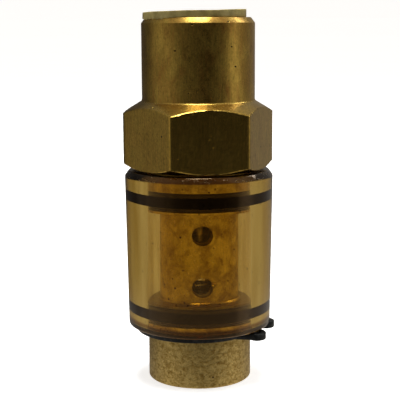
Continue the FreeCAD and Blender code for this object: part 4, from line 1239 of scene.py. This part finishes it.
def light_tent():
    """White screen all round and under the valve that only light through the clear sleeve meets: a tube
    that closes to a pole below, dimmed near the axis by a painted shadow round the valve. Its profile is
    (radius, height)."""
    profile = [(0.0, -0.002), (1.6, -0.002), (1.6, 2.4), (0.0, 2.4)]
    points, quads = lathe(profile, even_angles(48))
    mesh = bpy.data.meshes.new("light_tent")
    mesh.from_pydata(points.tolist(), [], quads.tolist())
    material, tree, output = new_material("white_screen")
    place = add(tree, "ShaderNodeTexCoord")
    flat = add(tree, "ShaderNodeVectorMath", {0: (place, "Object"), 1: (1, 1, 0)}, operation="MULTIPLY")
    distance = add(tree, "ShaderNodeVectorMath", {0: (flat, 0)}, operation="LENGTH")
    # Painted shadow: the glow is 0.22 within 6 cm of the axis and rises to 0.66 at 10 cm, a dark ground
    # round the valve.
    level = add(tree, "ShaderNodeMapRange", {
        "Value": (distance, "Value"), "From Min": 0.06, "From Max": 0.1, "To Min": 0.22,
        "To Max": 0.66})
    glow = add(tree, "ShaderNodeEmission", {"Color": linear("fdfaf4"), "Strength": (level, 0)})
    tree.links.new(glow.outputs[0], output.inputs[0])
    mesh.materials.append(material)
    tent = bpy.data.objects.new("light_tent", mesh)
    bpy.context.scene.collection.objects.link(tent)
    tent.visible_camera = False
    tent.visible_diffuse = False
    tent.visible_glossy = False
    tent.visible_shadow = False
    return tent


def soft_light(name, place, aim, size, power):
    """Rectangular lamp at a place, turned to face a point, unseen by the camera itself."""
    lamp = bpy.data.lights.new(name, "AREA")
    lamp.shape = "RECTANGLE"
    lamp.size, lamp.size_y = size
    lamp.energy = power
    holder = bpy.data.objects.new(name, lamp)
    toward = Vector(aim) - Vector(place)
    holder.matrix_world = Matrix.Translation(place) @ toward.to_track_quat("-Z", "Y").to_matrix().to_4x4()
    holder.visible_camera = False
    bpy.context.scene.collection.objects.link(holder)


def studio_world(scene):
    """Room round the stage, as a brightness for each way round: dark where the camera stands, a large dim
    window to the left, a brighter one to the right, dark again behind on the left."""
    world = bpy.data.worlds.new("studio")
    scene.world = world
    world.use_nodes = True
    tree = world.node_tree
    tree.nodes.clear()
    place = add(tree, "ShaderNodeTexCoord")
    around = add(tree, "ShaderNodeTexGradient", {"Vector": (place, "Generated")}, gradient_type="RADIAL")
    ramp = add(tree, "ShaderNodeValToRGB", {"Fac": (around, "Fac")})
    stops = [(0.0, 0.36), (0.09, 0.3), (0.15, 0.10), (0.2, 0.05), (0.3, 0.02), (0.37, 0.05),
             (0.42, 0.14), (0.445, 0.58), (0.485, 0.64), (0.52, 0.31), (0.56, 0.23), (0.72, 0.26),
             (0.77, 0.07), (0.93, 0.06), (0.965, 0.24)]
    for position, _ in stops[2:]:
        ramp.color_ramp.elements.new(position)
    for element, (position, _) in zip(ramp.color_ramp.elements, stops):
        element.position = position
    for element, (_, level) in zip(ramp.color_ramp.elements, stops):
        element.color = (level, level, level, 1)
    axis = add(tree, "ShaderNodeSeparateXYZ", {0: (place, "Generated")})
    ceiling = add(tree, "ShaderNodeMapRange", {
        "Value": (axis, "Z"), "From Min": 0.4, "From Max": 0.75, "To Max": 0.22})
    ground = add(tree, "ShaderNodeMapRange", {
        "Value": (axis, "Z"), "From Min": -0.25, "From Max": -0.34, "To Max": 0.42})
    high_and_low = add(tree, "ShaderNodeMath", {0: (ceiling, 0), 1: (ground, 0)}, operation="ADD")
    level = add(tree, "ShaderNodeMath", {0: (ramp, "Color"), 1: (high_and_low, 0)}, operation="ADD")
    room = add(tree, "ShaderNodeBackground", {"Color": linear("fff6ea"), "Strength": (level, 0)})
    add(tree, "ShaderNodeOutputWorld", {0: (room, 0)})


def place_camera(scene):
    """Long lens just above the floor, looking slightly down at the valve's middle."""
    lens = bpy.data.cameras.new("view")
    lens.lens = 99.0
    lens.sensor_width = 36.0
    lens.clip_start = 0.01
    holder = bpy.data.objects.new("view", lens)
    scene.collection.objects.link(holder)
    place = Vector((0.0002, -0.2003, 0.0654))
    pitch, roll = math.radians(9.16), math.radians(-0.28)
    turn = Matrix.Rotation(math.pi / 2 - pitch, 4, "X") @ Matrix.Rotation(roll, 4, "Z")
    holder.matrix_world = Matrix.Translation(place) @ turn
    scene.camera = holder


class VALVE_PT_panel(bpy.types.Panel):
    """Sidebar panel that lists the build steps"""
    bl_idname = "VALVE_PT_panel"
    bl_label = "Diverter valve"
    bl_space_type = "VIEW_3D"
    bl_region_type = "UI"
    bl_category = "Valve"

    def draw(self, context):
        for step in STEPS:
            self.layout.operator(step.bl_idname)


STEPS = (VALVE_OT_stage, VALVE_OT_body, VALVE_OT_sleeve, VALVE_OT_seals, VALVE_OT_circlip,
         VALVE_OT_washer, VALVE_OT_strainer, VALVE_OT_seat, VALVE_OT_spool, VALVE_OT_adjuster)
CLASSES = (ValveSizes, ValveColours) + STEPS + (VALVE_PT_panel,)


def register():
    """Registers the classes and hangs the sizes and colours on the scene."""
    for item in CLASSES:
        bpy.utils.register_class(item)
    bpy.types.Scene.valve_sizes = bpy.props.PointerProperty(type=ValveSizes)
    bpy.types.Scene.valve_colours = bpy.props.PointerProperty(type=ValveColours)


def unregister():
    """Undoes register."""
    del bpy.types.Scene.valve_colours
    del bpy.types.Scene.valve_sizes
    for item in reversed(CLASSES):
        bpy.utils.unregister_class(item)


def main():
    """Builds everything in order."""
    register()
    for step in STEPS:
        group, action = step.bl_idname.split(".")
        getattr(getattr(bpy.ops, group), action)()


if __name__ == "__main__":
    main()
